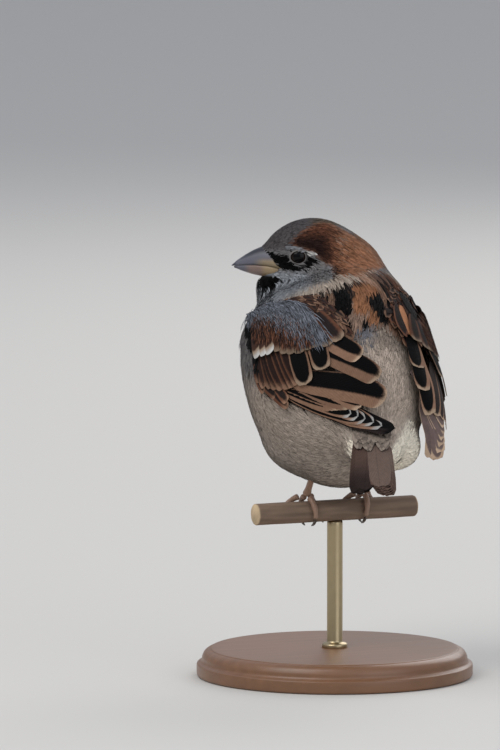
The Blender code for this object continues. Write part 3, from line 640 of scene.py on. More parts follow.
# %% From arrays to objects
def mesh_of(name, points, quads, tris=()):
    """A mesh object from whole arrays of points in mm, quads and triangles."""
    me = bpy.data.meshes.new(name)
    quads, tris = np.asarray(quads, np.int32).reshape(-1, 4), np.asarray(tris, np.int32).reshape(-1, 3)
    loops = np.concatenate([quads.ravel(), tris.ravel()])
    starts = np.concatenate([np.arange(len(quads)) * 4, len(quads) * 4 + np.arange(len(tris)) * 3])
    me.vertices.add(len(points))
    me.vertices.foreach_set("co", (np.asarray(points) * MM).astype(np.float32).ravel())
    me.loops.add(len(loops))
    me.loops.foreach_set("vertex_index", loops.astype(np.int32))
    me.polygons.add(len(starts))
    me.polygons.foreach_set("loop_start", starts.astype(np.int32))
    me.update(calc_edges=True)
    me.polygons.foreach_set("use_smooth", np.ones(len(starts), bool))
    o = bpy.data.objects.new(name, me)
    bpy.context.scene.collection.objects.link(o)
    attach(o, "root")
    return o


def add_uv(o, name, per_vertex):
    """A UV map whose value is the same for all corners of a vertex."""
    me = o.data
    at = np.empty(len(me.loops), np.int32)
    me.loops.foreach_get("vertex_index", at)
    layer = me.uv_layers.new(name=name)
    layer.uv.foreach_set("vector", per_vertex[at].astype(np.float32).ravel())


def add_attr(o, name, kind, values):
    """A per-vertex attribute: FLOAT_COLOR or FLOAT_VECTOR or FLOAT."""
    layer = o.data.attributes.new(name, kind, "POINT")
    values = np.asarray(values, np.float32)
    if kind == "FLOAT_COLOR":
        values = np.concatenate([values, np.ones((len(values), 1), np.float32)], -1)
    layer.data.foreach_set({"FLOAT_COLOR": "color", "FLOAT_VECTOR": "vector", "FLOAT": "value"}[kind], values.ravel())


FEATHER_DATA = (("edge_tint", "FLOAT_COLOR", "edge", 3), ("centre_tint", "FLOAT_COLOR", "mid", 3),
                ("mark", "FLOAT_VECTOR", "mark", 3), ("lean", "FLOAT", "lean", 1),
                ("custom_normal", "FLOAT_VECTOR", "shade", 3))  # name, kind, key and width of each attribute


def plumage(name, sets):
    """Joins several sets of feathers into one object with its maps and tints."""
    quads, first = [], 0
    for m in sets:
        n, v = m["points"].shape[:2]
        quads.append((m["faces"][None] + first + (np.arange(n) * v)[:, None, None]).reshape(-1, 4))
        first += n * v
    all_of = lambda key, width: np.concatenate([m[key].reshape(-1, width) for m in sets])
    o = mesh_of(name, all_of("points", 3), np.concatenate(quads))
    add_uv(o, "OFBake", all_of("bake", 2))
    add_uv(o, "vane", np.concatenate([np.tile(m["uv"], (m["n"], 1)) for m in sets]))
    for label, kind, key, width in FEATHER_DATA:
        add_attr(o, label, kind, all_of(key, width))
    o.data.materials.append(FEATHER)
    print(name, "feathers", sum(m["n"] for m in sets), "triangles", 2 * sum(len(q) for q in quads))
    return o

# %% Sowing
GOLDEN = 1.32471795724  # the plane's own golden ratio: its steps never bunch up


def even_pairs(count, rng):
    """Points that fill the unit square evenly: steps of 1/GOLDEN and 1/GOLDEN^2 from random starts."""
    k = np.arange(count)
    return (rng.random() + k / GOLDEN) % 1, (rng.random() + k / GOLDEN**2) % 1


def sow(count, weight, seed):
    """Roots on the body spread evenly by area times weight: even pairs read through the running sums of area."""
    area = np.linalg.norm(np.cross(body.all[..., 6:9], body.all[..., 9:]), axis=-1) * weight + 1e-9
    u, v = even_pairs(count, np.random.default_rng(SEED + seed))
    total = np.concatenate([[0], np.cumsum(area.sum(1))])
    a = np.clip(np.interp(u, total / total[-1], np.arange(len(total))) - 0.5, 0, body.shape[0] - 1.01)
    rows = np.concatenate([np.zeros((len(area), 1)), np.cumsum(area, 1)], 1)
    rows /= rows[:, -1:]
    b = np.empty(count)
    for i in range(len(area)):
        here = np.round(a).astype(int) == i
        b[here] = np.interp(v[here], rows[i], np.arange(rows.shape[1]))
    return a, b

# %% [markdown]
# ## Wings
# A folded wing is a stack: outer primaries lowest, then secondaries, tertials, and coverts over their
# roots, each row in order like a hand of cards. The CAD guide lines give a sheet with `u` from wrist to
# tip and `v` from the low edge to the back. Each feather is placed on it by root and tip.

# %% Wing sheets
WING = {
    "left": {
        "lower": [(22.5, -18.0, 101.5), (27.5, -6.0, 95.5), (27.8, 5.0, 92.5), (24.5, 16.0, 89.4),
                  (19.2, 25.0, 86.4), (11.6, 34.4, 83.4), (4.6, 38.6, 81.2), (-1.4, 40.2, 80.2)],
        "upper": [(22.0, -14.0, 116.0), (19.5, -2.0, 118.5), (14.0, 10.0, 117.5), (9.0, 20.5, 111.5),
                  (4.6, 27.4, 105.3), (1.4, 32.8, 99.2), (-0.2, 36.6, 91.0), (-3.4, 40.6, 82.4)],
        "off_low": (0.35, 0.35, 0.35, 0.35, 0.5, 1.0, 1.6, 2.2),
        "off_up": (0.35, 0.35, 0.35, 0.35, 0.35, 0.6, 1.0, 2.0),
    },
    "right": {
        "lower": [(-25.0, -18.0, 100.0), (-29.5, -8.0, 93.5), (-31.8, 3.0, 87.0), (-32.4, 12.0, 81.2),
                  (-31.5, 19.0, 76.8), (-29.0, 24.5, 73.2), (-25.5, 29.0, 70.8), (-21.0, 33.0, 69.8)],
        "upper": [(-23.0, -14.0, 116.5), (-22.5, -2.0, 118.0), (-18.0, 10.0, 116.5), (-12.0, 20.6, 110.8),
                  (-10.7, 28.1, 105.9), (-9.6, 32.5, 99.3), (-10.2, 35.6, 89.5), (-17.5, 34.6, 71.6)],
        "off_low": (0.35, 1.6, 3.4, 5.6, 7.4, 9.2, 10.0, 10.0),
        "off_up": (0.35, 0.35, 0.35, 0.35, 0.5, 0.9, 1.0, 2.0),
    },
}
U0, U1, V0, V1 = -0.3, 1.06, -0.25, 1.35
WU, WV = 110, 60
END_STEP = 0.02  # share of an edge that gives its direction where it is carried on
TIP_SPREAD = 11.0  # mm that the sheet keeps from its low to its upper edge at the tip, for the fan of primaries


def wing_chart(side):
    """The middle of the CAD wing as a grid, carried on past its front, low and upper edges onto the body."""
    w = WING[side]
    u, v = np.linspace(U0, U1, WU), np.linspace(V0, V1, WV)
    uc, vc = np.clip(u, 0, 1), np.clip(v, 0, 1)
    over = (u - uc)[:, None]
    rail = {}
    for k in ("lower", "upper"):
        start, past_start, before_end, end = smooth_path(w[k], [0.0, END_STEP, 1 - END_STEP, 1.0])
        run = np.where(over < 0, past_start - start, end - before_end) / END_STEP
        rail[k] = smooth_path(w[k], uc) + run * over
    apart = rail["upper"] - rail["lower"]
    gap = np.linalg.norm(apart, axis=-1, keepdims=True)
    apart = apart / gap * np.hypot(gap, TIP_SPREAD * ease((u[:, None] - 0.5) / 0.4))
    p = ((rail["lower"] + rail["upper"]) / 2)[:, None] + apart[:, None] * (v[:, None] - 0.5)
    knots = np.linspace(0, 1, 8)
    off = np.interp(uc, knots, w["off_low"])[:, None] * (1 - vc) + np.interp(uc, knots, w["off_up"])[:, None] * vc
    off = off + (2.2 - 1.3 * uc[:, None] ** 1.3) / 2
    off = off * ease(1 - np.maximum(-over / 0.25, 0)) * ease(1 - np.clip((v - 1) / 0.3, 0, 1) * (uc[:, None] < 0.6))
    p = onto(p, off)
    n = slope(p)
    return Chart(p, False, lambda q: n)


def spot(u, v):
    """Chart index of a wing place."""
    return (np.asarray(u) - U0) / (U1 - U0) * (WU - 1), (np.asarray(v) - V0) / (V1 - V0) * (WV - 1)


wings = {side: wing_chart(side) for side in WING}
for side, chart in wings.items():
    p = chart.read(*spot(np.linspace(0, 1, 30)[:, None], np.linspace(0, 1, 20)))[0].reshape(-1, 3)
    nodes = [node_mm(f"wing_{side}_{k}") for k in ("shoulder", "tertials", "primaries")]
    lo, hi = np.min([n[0] for n in nodes], 0), np.max([n[1] for n in nodes], 0)
    print(side, "wing sheet outside its CAD nodes by", np.maximum(lo - p.min(0), p.max(0) - hi).round(2))

# %% [markdown]
# ### Wing feather tables
# A row of feathers is told by guide points for its roots and its tips, from the lowest feather of the
# stack to the highest, then a width, heights over the sheet, and tints. Rows differ from left to right only
# where the folded wings lie differently: the left is closed on the flank, the right droops at its tip.

# %% Wing rows
# each row: name, widths, heights over the sheet, edge, tip and centre tint, mark (half width, end, softness),
# lean of the dark centre toward the back edge, then (root u, v, tip u, v) for every feather, the lowest first
OUTER = [
    ("primary coverts", (3.4, 3.8), (0.6, 0.9), RUFOUS, FRINGE, SOOT, (0.6, 0.95, 0.3), 0.2,
     [(0.22, 0.23, 0.325, 0.045), (0.26, 0.17, 0.395, 0.072), (0.28, 0.18, 0.458, 0.012), (0.33, 0.20, 0.445, 0.075)]),
    ("outer greater coverts", (3.8, 4.6), (0.9, 1.3), RUFOUS * 0.7, FRINGE * 0.8, tint(36, 25, 22), (0.6, 0.97, 0.5),
     0.25,
     [(0.20, 0.42, 0.29, 0.12), (0.21, 0.43, 0.327, 0.10), (0.22, 0.45, 0.358, 0.132), (0.235, 0.46, 0.383, 0.16),
      (0.25, 0.49, 0.408, 0.188),
      (0.27, 0.51, 0.43, 0.222), (0.285, 0.54, 0.443, 0.256), (0.30, 0.58, 0.456, 0.312)]),
    ("inner greater coverts", (6.4, 6.0), (1.8, 1.95), FRINGE * 0.7, FRINGE_TIP * 0.6, INK, (0.84, 0.95, 0.1), 0.0,
     [(0.33, 0.70, 0.485, 0.35), (0.37, 0.84, 0.505, 0.56)]),
    ("median coverts", (4.2, 5.0), (1.85, 2.0), RUFOUS, FRINGE_TIP * 0.35, RUFOUS_DARK, (0.5, 0.86, 0.5), 0.0,
     [(0.24, 0.72, 0.332, 0.494), (0.265, 0.74, 0.36, 0.507), (0.285, 0.77, 0.382, 0.541), (0.305, 0.80, 0.404, 0.582),
      (0.325, 0.85, 0.419, 0.643), (0.34, 0.90, 0.438, 0.717)]),
    ("white median coverts", (4.0, 4.2), (2.0, 2.1), FRINGE_TIP * 0.6, PALE * 0.8, RUFOUS_DARK, (1.2, 0.74, 0.2), 0.0,
     [(0.15, 0.60, 0.258, 0.355), (0.19, 0.62, 0.286, 0.398), (0.22, 0.64, 0.31, 0.445)]),
    ("inner brown coverts", (5.0, 5.0), (2.1, 2.2), RUFOUS * 0.8, FRINGE_TIP * 0.5, SOOT, (0.6, 0.92, 0.5), 0.0,
     [(0.35, 0.92, 0.466, 0.79), (0.35, 0.98, 0.482, 0.90)]),
]
INNER = {
    "left": [
        ("outer primaries", (5.6, 5.4), (-0.2, 0.0), SOOT, INK, INK, (0.95, 0.985, 0.05), 0.05,
         [(0.36, 0.13, 0.955, 0.20), (0.36, 0.14, 0.963, 0.26)]),
        ("primaries", (5.4, 5.2), (0.05, 0.5), FRINGE * 0.9, PALE * 0.55, INK, (0.92, 0.985, 0.05), 0.09,
         [(0.37, 0.15, 0.892, 0.20), (0.375, 0.16, 0.84, 0.225), (0.38, 0.17, 0.782, 0.24), (0.385, 0.18, 0.737, 0.245),
          (0.388, 0.19, 0.697, 0.25)]),
        ("secondaries", (5.0, 5.6), (0.5, 0.9), FRINGE * 0.8, FRINGE_TIP * 0.8, INK, (0.76, 0.978, 0.08), 0.24,
         [(0.36, 0.18, 0.639, 0.256), (0.36, 0.21, 0.648, 0.29), (0.37, 0.25, 0.664, 0.325),
          (0.375, 0.29, 0.679, 0.358),
          (0.38, 0.33, 0.698, 0.392), (0.39, 0.38, 0.72, 0.413)]),
        ("tertials", (9.0, 6.8), (1.35, 1.75), FRINGE * 0.8, FRINGE_TIP * 0.8, INK, (0.64, 0.962, 0.2), 0.34,
         [(0.40, 0.31, 0.829, 0.785), (0.40, 0.66, 0.729, 0.902), (0.38, 0.80, 0.592, 0.915)]),
    ],
    "right": [
        ("primaries", (8.6, 7.0), (-0.4, 0.4), FRINGE_TIP * 1.1, FRINGE_TIP * 1.1, QUILL * 5.5, (0.9, 0.975, 0.06),
         0.06,
         [(0.60, 0.76, 1.0, 0.68), (0.62, 0.80, 0.985, 0.54), (0.63, 0.84, 0.94, 0.45), (0.64, 0.88, 0.897, 0.42),
          (0.65, 0.90, 0.852, 0.40),
          (0.66, 0.92, 0.803, 0.38), (0.67, 0.94, 0.755, 0.40)]),
        ("secondaries", (5.6, 6.0), (0.5, 0.9), FRINGE * 1.1, FRINGE_TIP * 0.9, QUILL, (0.8, 0.965, 0.08), 0.2,
         [(0.42, 0.40, 0.66, 0.22), (0.43, 0.46, 0.69, 0.32), (0.44, 0.52, 0.725, 0.41), (0.45, 0.58, 0.76, 0.50),
          (0.46, 0.66, 0.795, 0.60)]),
        ("tertials", (7.6, 6.4), (1.05, 1.4), FRINGE, FRINGE_TIP * 0.85, INK, (0.84, 0.96, 0.08), 0.18,
         [(0.50, 0.88, 0.835, 0.72), (0.44, 0.90, 0.757, 0.83), (0.40, 0.94, 0.651, 0.89)]),
    ],
}

# %% Wing feathers
WING_FEATHER = dict(nu=8, nv=14, rise=2.0, dome=0.07, outline=FLIGHT, notch=(0.03, 0.01, 0, 0.01, 0.03), ragged=0.012,
                    thick=0.1, soft=0.4, crowd=1.6)
WING_CELLS = 8  # boxes along each side of the bake map


def wing_row(chart, sign, widths, heights, edge, tip, mid, mark, lean, places, first, seed):
    """One row of wing feathers as a set, with its bake cells starting at first."""
    u0, v0, u1, v1 = np.array(places).T
    n, rng = len(u0), np.random.default_rng(SEED + seed)
    top = np.linspace(*heights, n)
    made = feathers(chart, *spot(u0, v0), np.linspace(*widths, n), top - 0.6, top, seed=seed, ends=spot(u1, v1),
                    bow=0.02 * rng.standard_normal(n), **WING_FEATHER)
    vary = 1 + 0.10 * rng.standard_normal((n, 1))
    tip_from = 0.9 if u1[0] - u0[0] > 0.2 else 0.76  # long feathers change tint close to the tip
    return coloured(made, cells(first, n, WING_CELLS), edge * vary, mid * vary, mark, tip * vary, lean * sign, tip_from)


wing_sets = {}
for side, chart in wings.items():
    first, wing_sets[side] = 0, []
    for k, (name, *row) in enumerate(INNER[side] + OUTER):
        wing_sets[side].append(wing_row(chart, 1 if side == "left" else -1, *row, first, 10 * k + len(side)))
        first += len(row[-1])
    print(side, "wing large feathers", first)

# %% [markdown]
# ## The small coat
# Contour feathers give the rounded, layered body. Over them lie hair-fine strands, the loose barbs that
# make a fluffed winter bird look soft. Roots are sown evenly by area, denser and smaller toward the bill,
# and left out under the folded wings, over the eyes and where the bill stands.

# %% Where roots may stand
BILL_BASE = [(19.0, 4.6), (17.0, 2.2), (14.6, 0.6), (13.4, -0.8), (12.8, -2.1), (14.2, -3.0), (15.5, -4.3),
             (19, -4.8), (40, -6), (40, 6)]


EYE_CLEAR = (2.75, 2.3)  # half length and half height in mm of the place round the eye that has no roots
WING_CLEAR = 2.3  # mm round the inner part of a wing sheet that has none


def under_wing(p):
    """True where a point lies close to the inner part of a wing sheet."""
    hidden = np.zeros(len(p), bool)
    for chart in wings.values():
        q = chart.read(*spot(np.linspace(0.22, 0.68, 22)[:, None], np.linspace(0.12, 0.72, 13)))[0].reshape(-1, 3)
        for part in np.array_split(np.arange(len(p)), 8):
            hidden[part] |= (np.linalg.norm(p[part, None] - q[None], axis=-1).min(1) < WING_CLEAR)
    return hidden


def free_roots(count, weight, seed):
    """Sown roots on the body, without those under wings, in the eye or under the bill, and their head coordinates."""
    a, b = sow(count, weight, seed)
    p = body.read(a, b)[0]
    q = to_head(p)
    from_eye = np.hypot((q[:, 0] - EYE[0]) / EYE_CLEAR[0], (q[:, 2] - EYE[2]) / EYE_CLEAR[1])
    in_eye = (from_eye < 1) & (np.abs(q[:, 1]) > 4)
    keep = ~under_wing(p) & ~in_eye & (within(BILL_BASE, q[:, 0], q[:, 2]) < 0)
    return a[keep], b[keep], q[keep]


rows_a = np.arange(ROWS)[:, None] + np.zeros((1, COLS))
on_head = ease((ROWS_HEAD + 6 - rows_a) / 10)
on_trunk = ease((rows_a - ROWS_HEAD + 10) / 12)


def spread(c, amount, rng):
    """Each feather a little lighter or darker than the next."""
    return c * (1 + amount * rng.standard_normal((len(c), 1)))


def keep_clear(q, length):
    """Feathers in front of the eye are cut short so that none lies over it."""
    ahead, half_height = q[:, 0] - EYE[0], EYE_CLEAR[1]
    facing = (ahead > 0) & (np.abs(q[:, 2] - EYE[2]) < half_height) & (np.abs(q[:, 1]) > 3)
    return np.where(facing, np.minimum(length, np.maximum(ahead - half_height, 0.4)), length)

# %% Head and trunk feathers
BARB = dict(nu=2, nv=3, outline=STRAND, thick=0.04)
VELVET = dict(nu=2, nv=4, rise=1.8, dome=0.06, notch=(0.3, 0, 0.3), ragged=0.12, thick=0.04)
CONTOUR = dict(nu=4, nv=4, rise=2.2, dome=0.05, notch=(0.34, 0.06, 0, 0.06, 0.34), ragged=0.12, thick=0.05)


def head_coat(count, seed, strands=False):
    """Small velvety feathers from bill to nape, or the hair-fine strands over them."""
    a, b, q = free_roots(count, on_head, seed)
    n, rng = len(a), np.random.default_rng(SEED + seed)
    length = np.interp(q[:, 0], [-22, -8, 0, 8, 18], [6.5, 5.0, 3.8, 2.8, 1.8]) * (1 + 0.15 * rng.standard_normal(n))
    length = keep_clear(q, length * (1 + 0.6 * ease((-4 - q[:, 2]) / 6)))
    deep = np.interp(a, np.arange(ROWS), COAT_DEPTH)
    if strands:
        heading, width, tip = 0.14 * rng.standard_normal(n), 0.28 + 0.14 * rng.random(n), 0.04 + 0.10 * rng.random(n)
        made = feathers(body, a, b, width, -0.45 * deep, tip, heading, length, rise=1.6, dome=0.12, seed=seed, **BARB)
        return coloured(made, body_patches(a, b), spread(coat_tint(*made["seen"], rng.random(n)), 0.18, rng))
    heading = 0.10 * rng.standard_normal(n)
    made = feathers(body, a, b, 0.42 * length + 0.3, -0.8 * deep, 0.02, heading, length, seed=seed, **VELVET)
    c = spread(coat_tint(*made["seen"]), 0.1, rng)
    return coloured(made, body_patches(a, b), c, c * 0.8, (0.25, 0.9, 0.5))


def trunk_coat(count, seed):
    """Contour feathers of the trunk, longest over the flanks."""
    a, b, _ = free_roots(count, on_trunk, seed)
    n, rng = len(a), np.random.default_rng(SEED + seed)
    length = np.interp(around(a, b)[1], [0, 0.2, 0.6, 0.85, 1],
                       [8.0, 9.5, 11.5, 10, 7.0]) * (1 + 0.1 * rng.standard_normal(n))
    deep = np.interp(a, np.arange(ROWS), COAT_DEPTH) * 0.85
    heading, tip = 0.08 * rng.standard_normal(n), 0.08 * rng.random(n) - 0.1
    made = feathers(body, a, b, 0.52 * length, -deep, tip, heading, length, seed=seed, **CONTOUR)
    c = spread(coat_tint(*made["seen"]), 0.06, rng)
    return coloured(made, body_patches(a, b), c, c * 0.85, (0.3, 0.8, 0.5))


def strand_coat(count, seed):
    """Loose barbs over the trunk: slender strands that lie along the coat and lift a little at the tip."""
    a, b, _ = free_roots(count, on_trunk, seed)
    n, rng = len(a), np.random.default_rng(SEED + seed)
    length = np.interp(around(a, b)[1], [0, 0.3, 0.8, 1], [4.5, 6.0, 7.5, 5.0]) * (1 + 0.2 * rng.standard_normal(n))
    heading, width, tip = 0.10 * rng.standard_normal(n), 0.40 + 0.24 * rng.random(n), 0.02 + 0.12 * rng.random(n) ** 2
    made = feathers(body, a, b, width, -0.7, tip, heading, length, rise=1.8, dome=0.10,
                    bend=0.2 * rng.standard_normal(n), seed=seed, **BARB)
    at_a, at_b, p = made["seen"]
    c = coat_tint(at_a, at_b + 0.5 * rng.standard_normal(n), p, rng.random(n))
    return coloured(made, body_patches(a, b), spread(c, 0.12, rng))

# %% [markdown]
# ## Mantle
# The mantle's feathers are long, and each is one of a few tints: the dark ones line up in stripes. They are
# laid by their place in the mantle, not sown with the rest, so that the stripes keep clean edges.

# %% Mantle
MANTLE_FEATHER = dict(nu=4, nv=6, rise=1.9, dome=0.05, notch=(0.3, 0.08, 0.0, 0.08, 0.3), ragged=0.2, thick=0.05,
                      soft=0.85)


def mantle(count, seed, strands=False):
    """Long feathers of the mantle, each of the tint of the mark it lies in, or the loose barbs over them."""
    rng = np.random.default_rng(SEED + seed)
    across, down = even_pairs(count, rng)
    x, y = -23 + 40 * across, 1 + 25 * down
    inside = within(MANTLE_FIELD, x, y) > -0.4
    x, y = x[inside], y[inside]
    n = len(x)
    a, b = from_around(x / MM_PER_DEGREE, (y - 4.6) / TRUNK_MM)  # rooted before the place where the feather is seen
    if strands:
        heading, length = 0.07 * rng.standard_normal(n), 7.0 + rng.random(n)
        width, tip = 0.42 + 0.2 * rng.random(n), 0.3 + 0.3 * rng.random(n)
        made = feathers(body, a, b, width, -0.3, tip, heading, length, rise=1.7, dome=0.1, seed=seed,
                        **BARB | dict(nv=4))
    else:
        heading, length = 0.05 * rng.standard_normal(n), 7.6 + 1.4 * rng.random(n)
        width, tip = 2.0 + 0.5 * rng.random(n), 0.15 + 0.2 * rng.random(n)
        made = feathers(body, a, b, width, -0.9, tip, heading, length, seed=seed, **MANTLE_FEATHER)
    at_a, at_b, p = made["seen"]
    c = spread(body_tint(at_a, at_b + 0.4 * rng.standard_normal(n), p), 0.14, rng)
    return coloured(made, body_patches(a, b), c, c * 0.7, (0.4, 0.85, 0.5))

# %% [markdown]
# ## Shoulder cover
# Over the roots of the folded wing lie the lesser coverts, the breast side laps its front, scapulars its
# back, and on the near side a tuft of loose ash-grey feathers. Each kind fills one outline on the wing sheet.

# %% Shoulder cover
LESSER = [(0.09, 0.78), (0.199, 0.79), (0.311, 0.765), (0.39, 0.77), (0.43, 0.69), (0.40, 0.58), (0.34, 0.52),
          (0.25, 0.50), (0.19, 0.47)]
FLUFF = [(0.02, 0.90), (0.10, 0.96), (0.25, 0.95), (0.32, 0.92), (0.38, 0.86), (0.46, 0.80), (0.44, 0.70),
         (0.37, 0.66), (0.30, 0.66), (0.20, 0.74), (0.09, 0.78)]
BREAST_SIDE = [(0.08, 0.12), (0.04, 0.3), (-0.06, 0.73), (-0.04, 0.95), (0.03, 0.95), (0.05, 0.72), (0.15, 0.38),
               (0.21, 0.22), (0.24, 0.12)]
# outline of black feathers in the gap between the breast side and the wing's front: painted shadow
SHADOW_FRONT = [(0.137, 0.347), (0.021, 0.733), (0.04, 0.85), (0.095, 0.84), (0.099, 0.70), (0.205, 0.44),
               (0.28, 0.062), (0.262, 0.08), (0.205, 0.333)]
SCAPULARS = [(0.20, 0.98), (0.30, 1.0), (0.40, 0.93), (0.50, 0.90), (0.52, 1.0), (0.44, 1.15), (0.32, 1.2),
             (0.22, 1.15)]
WING_MM = 64.0, 19.0  # mm for one unit of u and of v about the shoulder
SCAPULAR_ROW = [  # the right shoulder's long scapulars: root u, v, tip u, v, then edge and centre tint and width in mm
    ((0.25, 1.13, 0.365, 0.92), INK, INK, 4.0), ((0.30, 1.08, 0.395, 0.895), RUFOUS_DARK, SOOT, 4.2),
    ((0.34, 1.14, 0.504, 0.995), RUFOUS, SOOT, 4.2), ((0.32, 1.04, 0.449, 0.86), SOOT, INK, 4.0),
    ((0.33, 1.09, 0.48, 0.92), BUFF, BUFF, 4.2), ((0.31, 0.99, 0.492, 0.84), MANTLE, RUFOUS_DARK, 4.6)]
SCAPULAR = dict(nu=6, nv=10, rise=1.8, dome=0.07, outline=ROUND, notch=(0.2, 0.05, 0, 0.05, 0.2), ragged=0.12,
                thick=0.08, soft=0.6)
COVER = dict(nu=4, nv=6, dome=0.05, notch=(0.3, 0.08, 0, 0.08, 0.3), ragged=0.22)
COVER_STRAND = dict(nu=2, nv=4, outline=STRAND, dome=0.1)


def shoulder(side, seed):
    """Lesser coverts, breast-side feathers that lap the wing's front, scapulars over its back edge, and loose fluff."""
    chart, sets = wings[side], []

    def add(corners, count, angle, length, width, low, top, colour, mid=None, mark=(0.3, 0.85, 0.5), vary=0.1,
            strands=False):
        """Feathers of one kind, seen within the outline, lying at that angle in degrees, of one colour or a mixture."""
        rng = np.random.default_rng(SEED + seed + 7 * len(sets))
        low_corner, size = np.min(corners, 0), np.ptp(corners, axis=0)
        u, v = (start + full * share for start, full, share in zip(low_corner, size, even_pairs(3 * count, rng)))
        inside = within(corners, u, v) > 0
        lie = np.radians(angle)
        u = u[inside][:count] - 0.6 * length * np.cos(lie) / WING_MM[0]
        v = v[inside][:count] - 0.6 * length * np.sin(lie) / WING_MM[1]
        n = len(u)
        top = top + 0.25 * rng.random(n)
        heading, long = lie + 0.12 * rng.standard_normal(n), length * (1 + 0.15 * rng.standard_normal(n))
        made = feathers(chart, *spot(u, v), width, low, top, heading, long, rise=1.8, thick=0.05, soft=0.8,
                        seed=seed + len(sets), **COVER_STRAND if strands else COVER)
        colour = np.reshape(colour, (-1, 3))
        c = spread(colour[rng.integers(0, len(colour), n)] if len(colour) > 1 else plain(colour, u), vary, rng)
        place = np.stack([np.clip(u + 0.35, 0, 1.5) * 0.6, np.clip(v + 0.3, 0, 1.9) * 0.5], -1)
        centre = c * 0.6 if mid is None else spread(plain(mid, u), vary, rng)
        sets.append(coloured(made, patches(place), c, centre, mark))

    grey, ash = tint(112, 108, 107), tint(116, 120, 129)
    browns, darker = [RUFOUS, RUFOUS_DARK, RUFOUS * 1.2], [MANTLE * 0.8, RUFOUS, RUFOUS_DARK, SOOT]
    add(BREAST_SIDE, 110, -52, 8.0, 4.4, -1.6, -0.7, grey)
    add(BREAST_SIDE, 900, -52, 7.5, 0.4, -1.2, -0.5, [grey, grey * 0.8, grey * 1.2], vary=0.16, strands=True)
    # black feathers where the breast side parts from the wing: painted shadow
    add(SHADOW_FRONT, 130, -56, 6.0, 2.0, -0.2, 0.9, INK, INK)
    add(LESSER, 110, -46, 6.0, 3.4, 0.9, 1.9, browns, SOOT, (0.5, 0.8, 0.4))
    add(LESSER, 1100, -46, 5.0, 0.4, 1.0, 2.2, [RUFOUS, RUFOUS_DARK, RUFOUS * 1.4, SOOT, SOOT * 2],
        vary=0.25, strands=True)
    if side == "left":
        add(SCAPULARS, 70, -8, 9.0, 3.0, -0.8, 0.3, [MANTLE * 0.9, MANTLE * 0.7, RUFOUS_DARK], SOOT,
            (0.35, 0.9, 0.5), 0.15)
        add(FLUFF, 90, -24, 9.0, 3.6, -1.0, 1.5, [ash * 0.6, ash * 0.4, RUFOUS_DARK], SLATE * 0.35)
        add(FLUFF, 1900, -24, 10.0, 0.3, -1.0, 2.3, [ash * k for k in (1, 0.8, 1.3, 0.5, 0.3, 1.1)],
            vary=0.3, strands=True)
        return sets
    add(FLUFF, 90, -14, 9.0, 3.0, -0.4, 0.4, darker, SOOT, (0.5, 0.9, 0.4), 0.15)
    add(SCAPULARS, 60, -8, 9.0, 3.0, -0.8, 0.4, darker, SOOT, (0.5, 0.9, 0.4), 0.15)
    for (u0, v0, u1, v1), edge, mid, wide in SCAPULAR_ROW:
        made = feathers(chart, *spot([u0], [v0]), wide, 0.6, 1.7, seed=seed + len(sets),
                        ends=spot([u1], [v1]), **SCAPULAR)
        sets.append(coloured(made, patches(np.array([[0.93, 0.02 + 0.01 * len(sets)]])), edge, mid, (0.75, 0.92, 0.25)))
    return sets

# %% [markdown]
# ## Finishes
# One feather material serves the whole coat: it reads the tints and the mark from each feather, and adds
# barbs, shaft and a fine mottling in the vane's own coordinates. Gloss is low with a trace of sheen.

# %% Node helpers and materials
def material(name, roughness, **sockets):
    """A new node material with its Principled shader's constant sockets set."""
    m = bpy.data.materials.new(name)
    m.use_nodes = True
    tree = m.node_tree
    shader = tree.nodes["Principled BSDF"]
    shader.inputs["Roughness"].default_value = roughness
    for k, v in sockets.items():
        shader.inputs[k.replace("_", " ")].default_value = v
    return m, tree, shader


def node(tree, kind, inputs=(), **props):
    """A node with properties set and inputs linked or given."""
    n = tree.nodes.new(kind)
    for k, v in props.items():
        setattr(n, k, v)
    for k, v in dict(inputs).items():
        if isinstance(v, bpy.types.NodeSocket):
            tree.links.new(v, n.inputs[k])
        else:
            n.inputs[k].default_value = v
    return n


def calc(tree, op, a, b=0.0, c=0.0):
    """A Math node's output."""
    return node(tree, "ShaderNodeMath", {0: a, 1: b, 2: c}, operation=op).outputs[0]


def blend_colour(tree, amount, a, b, how="MIX"):
    """A colour Mix node's output."""
    return node(tree, "ShaderNodeMix", {0: amount, 6: a, 7: b}, data_type="RGBA", blend_type=how).outputs[2]


def shaded(tree, shader, colour, light):
    """The base colour is a tint times a grey."""
    grey = node(tree, "ShaderNodeCombineXYZ", {0: light, 1: light, 2: light}).outputs[0]
    tree.links.new(blend_colour(tree, 1.0, colour, grey, "MULTIPLY"), shader.inputs["Base Color"])


def bumped(tree, shader, height, strength, distance):
    """Fine relief from a height, at most distance metres deep."""
    b = node(tree, "ShaderNodeBump", {"Height": height, "Strength": strength, "Distance": distance})
    tree.links.new(b.outputs[0], shader.inputs["Normal"])


def grain(tree, scale, detail=3.0, stretch=(1, 1, 1)):
    """Noise in the object's own coordinates."""
    at = node(tree, "ShaderNodeTexCoord").outputs["Object"]
    at = node(tree, "ShaderNodeMapping", {"Vector": at, "Scale": stretch}).outputs[0]
    return node(tree, "ShaderNodeTexNoise", {"Vector": at, "Scale": scale, "Detail": detail}).outputs["Fac"]

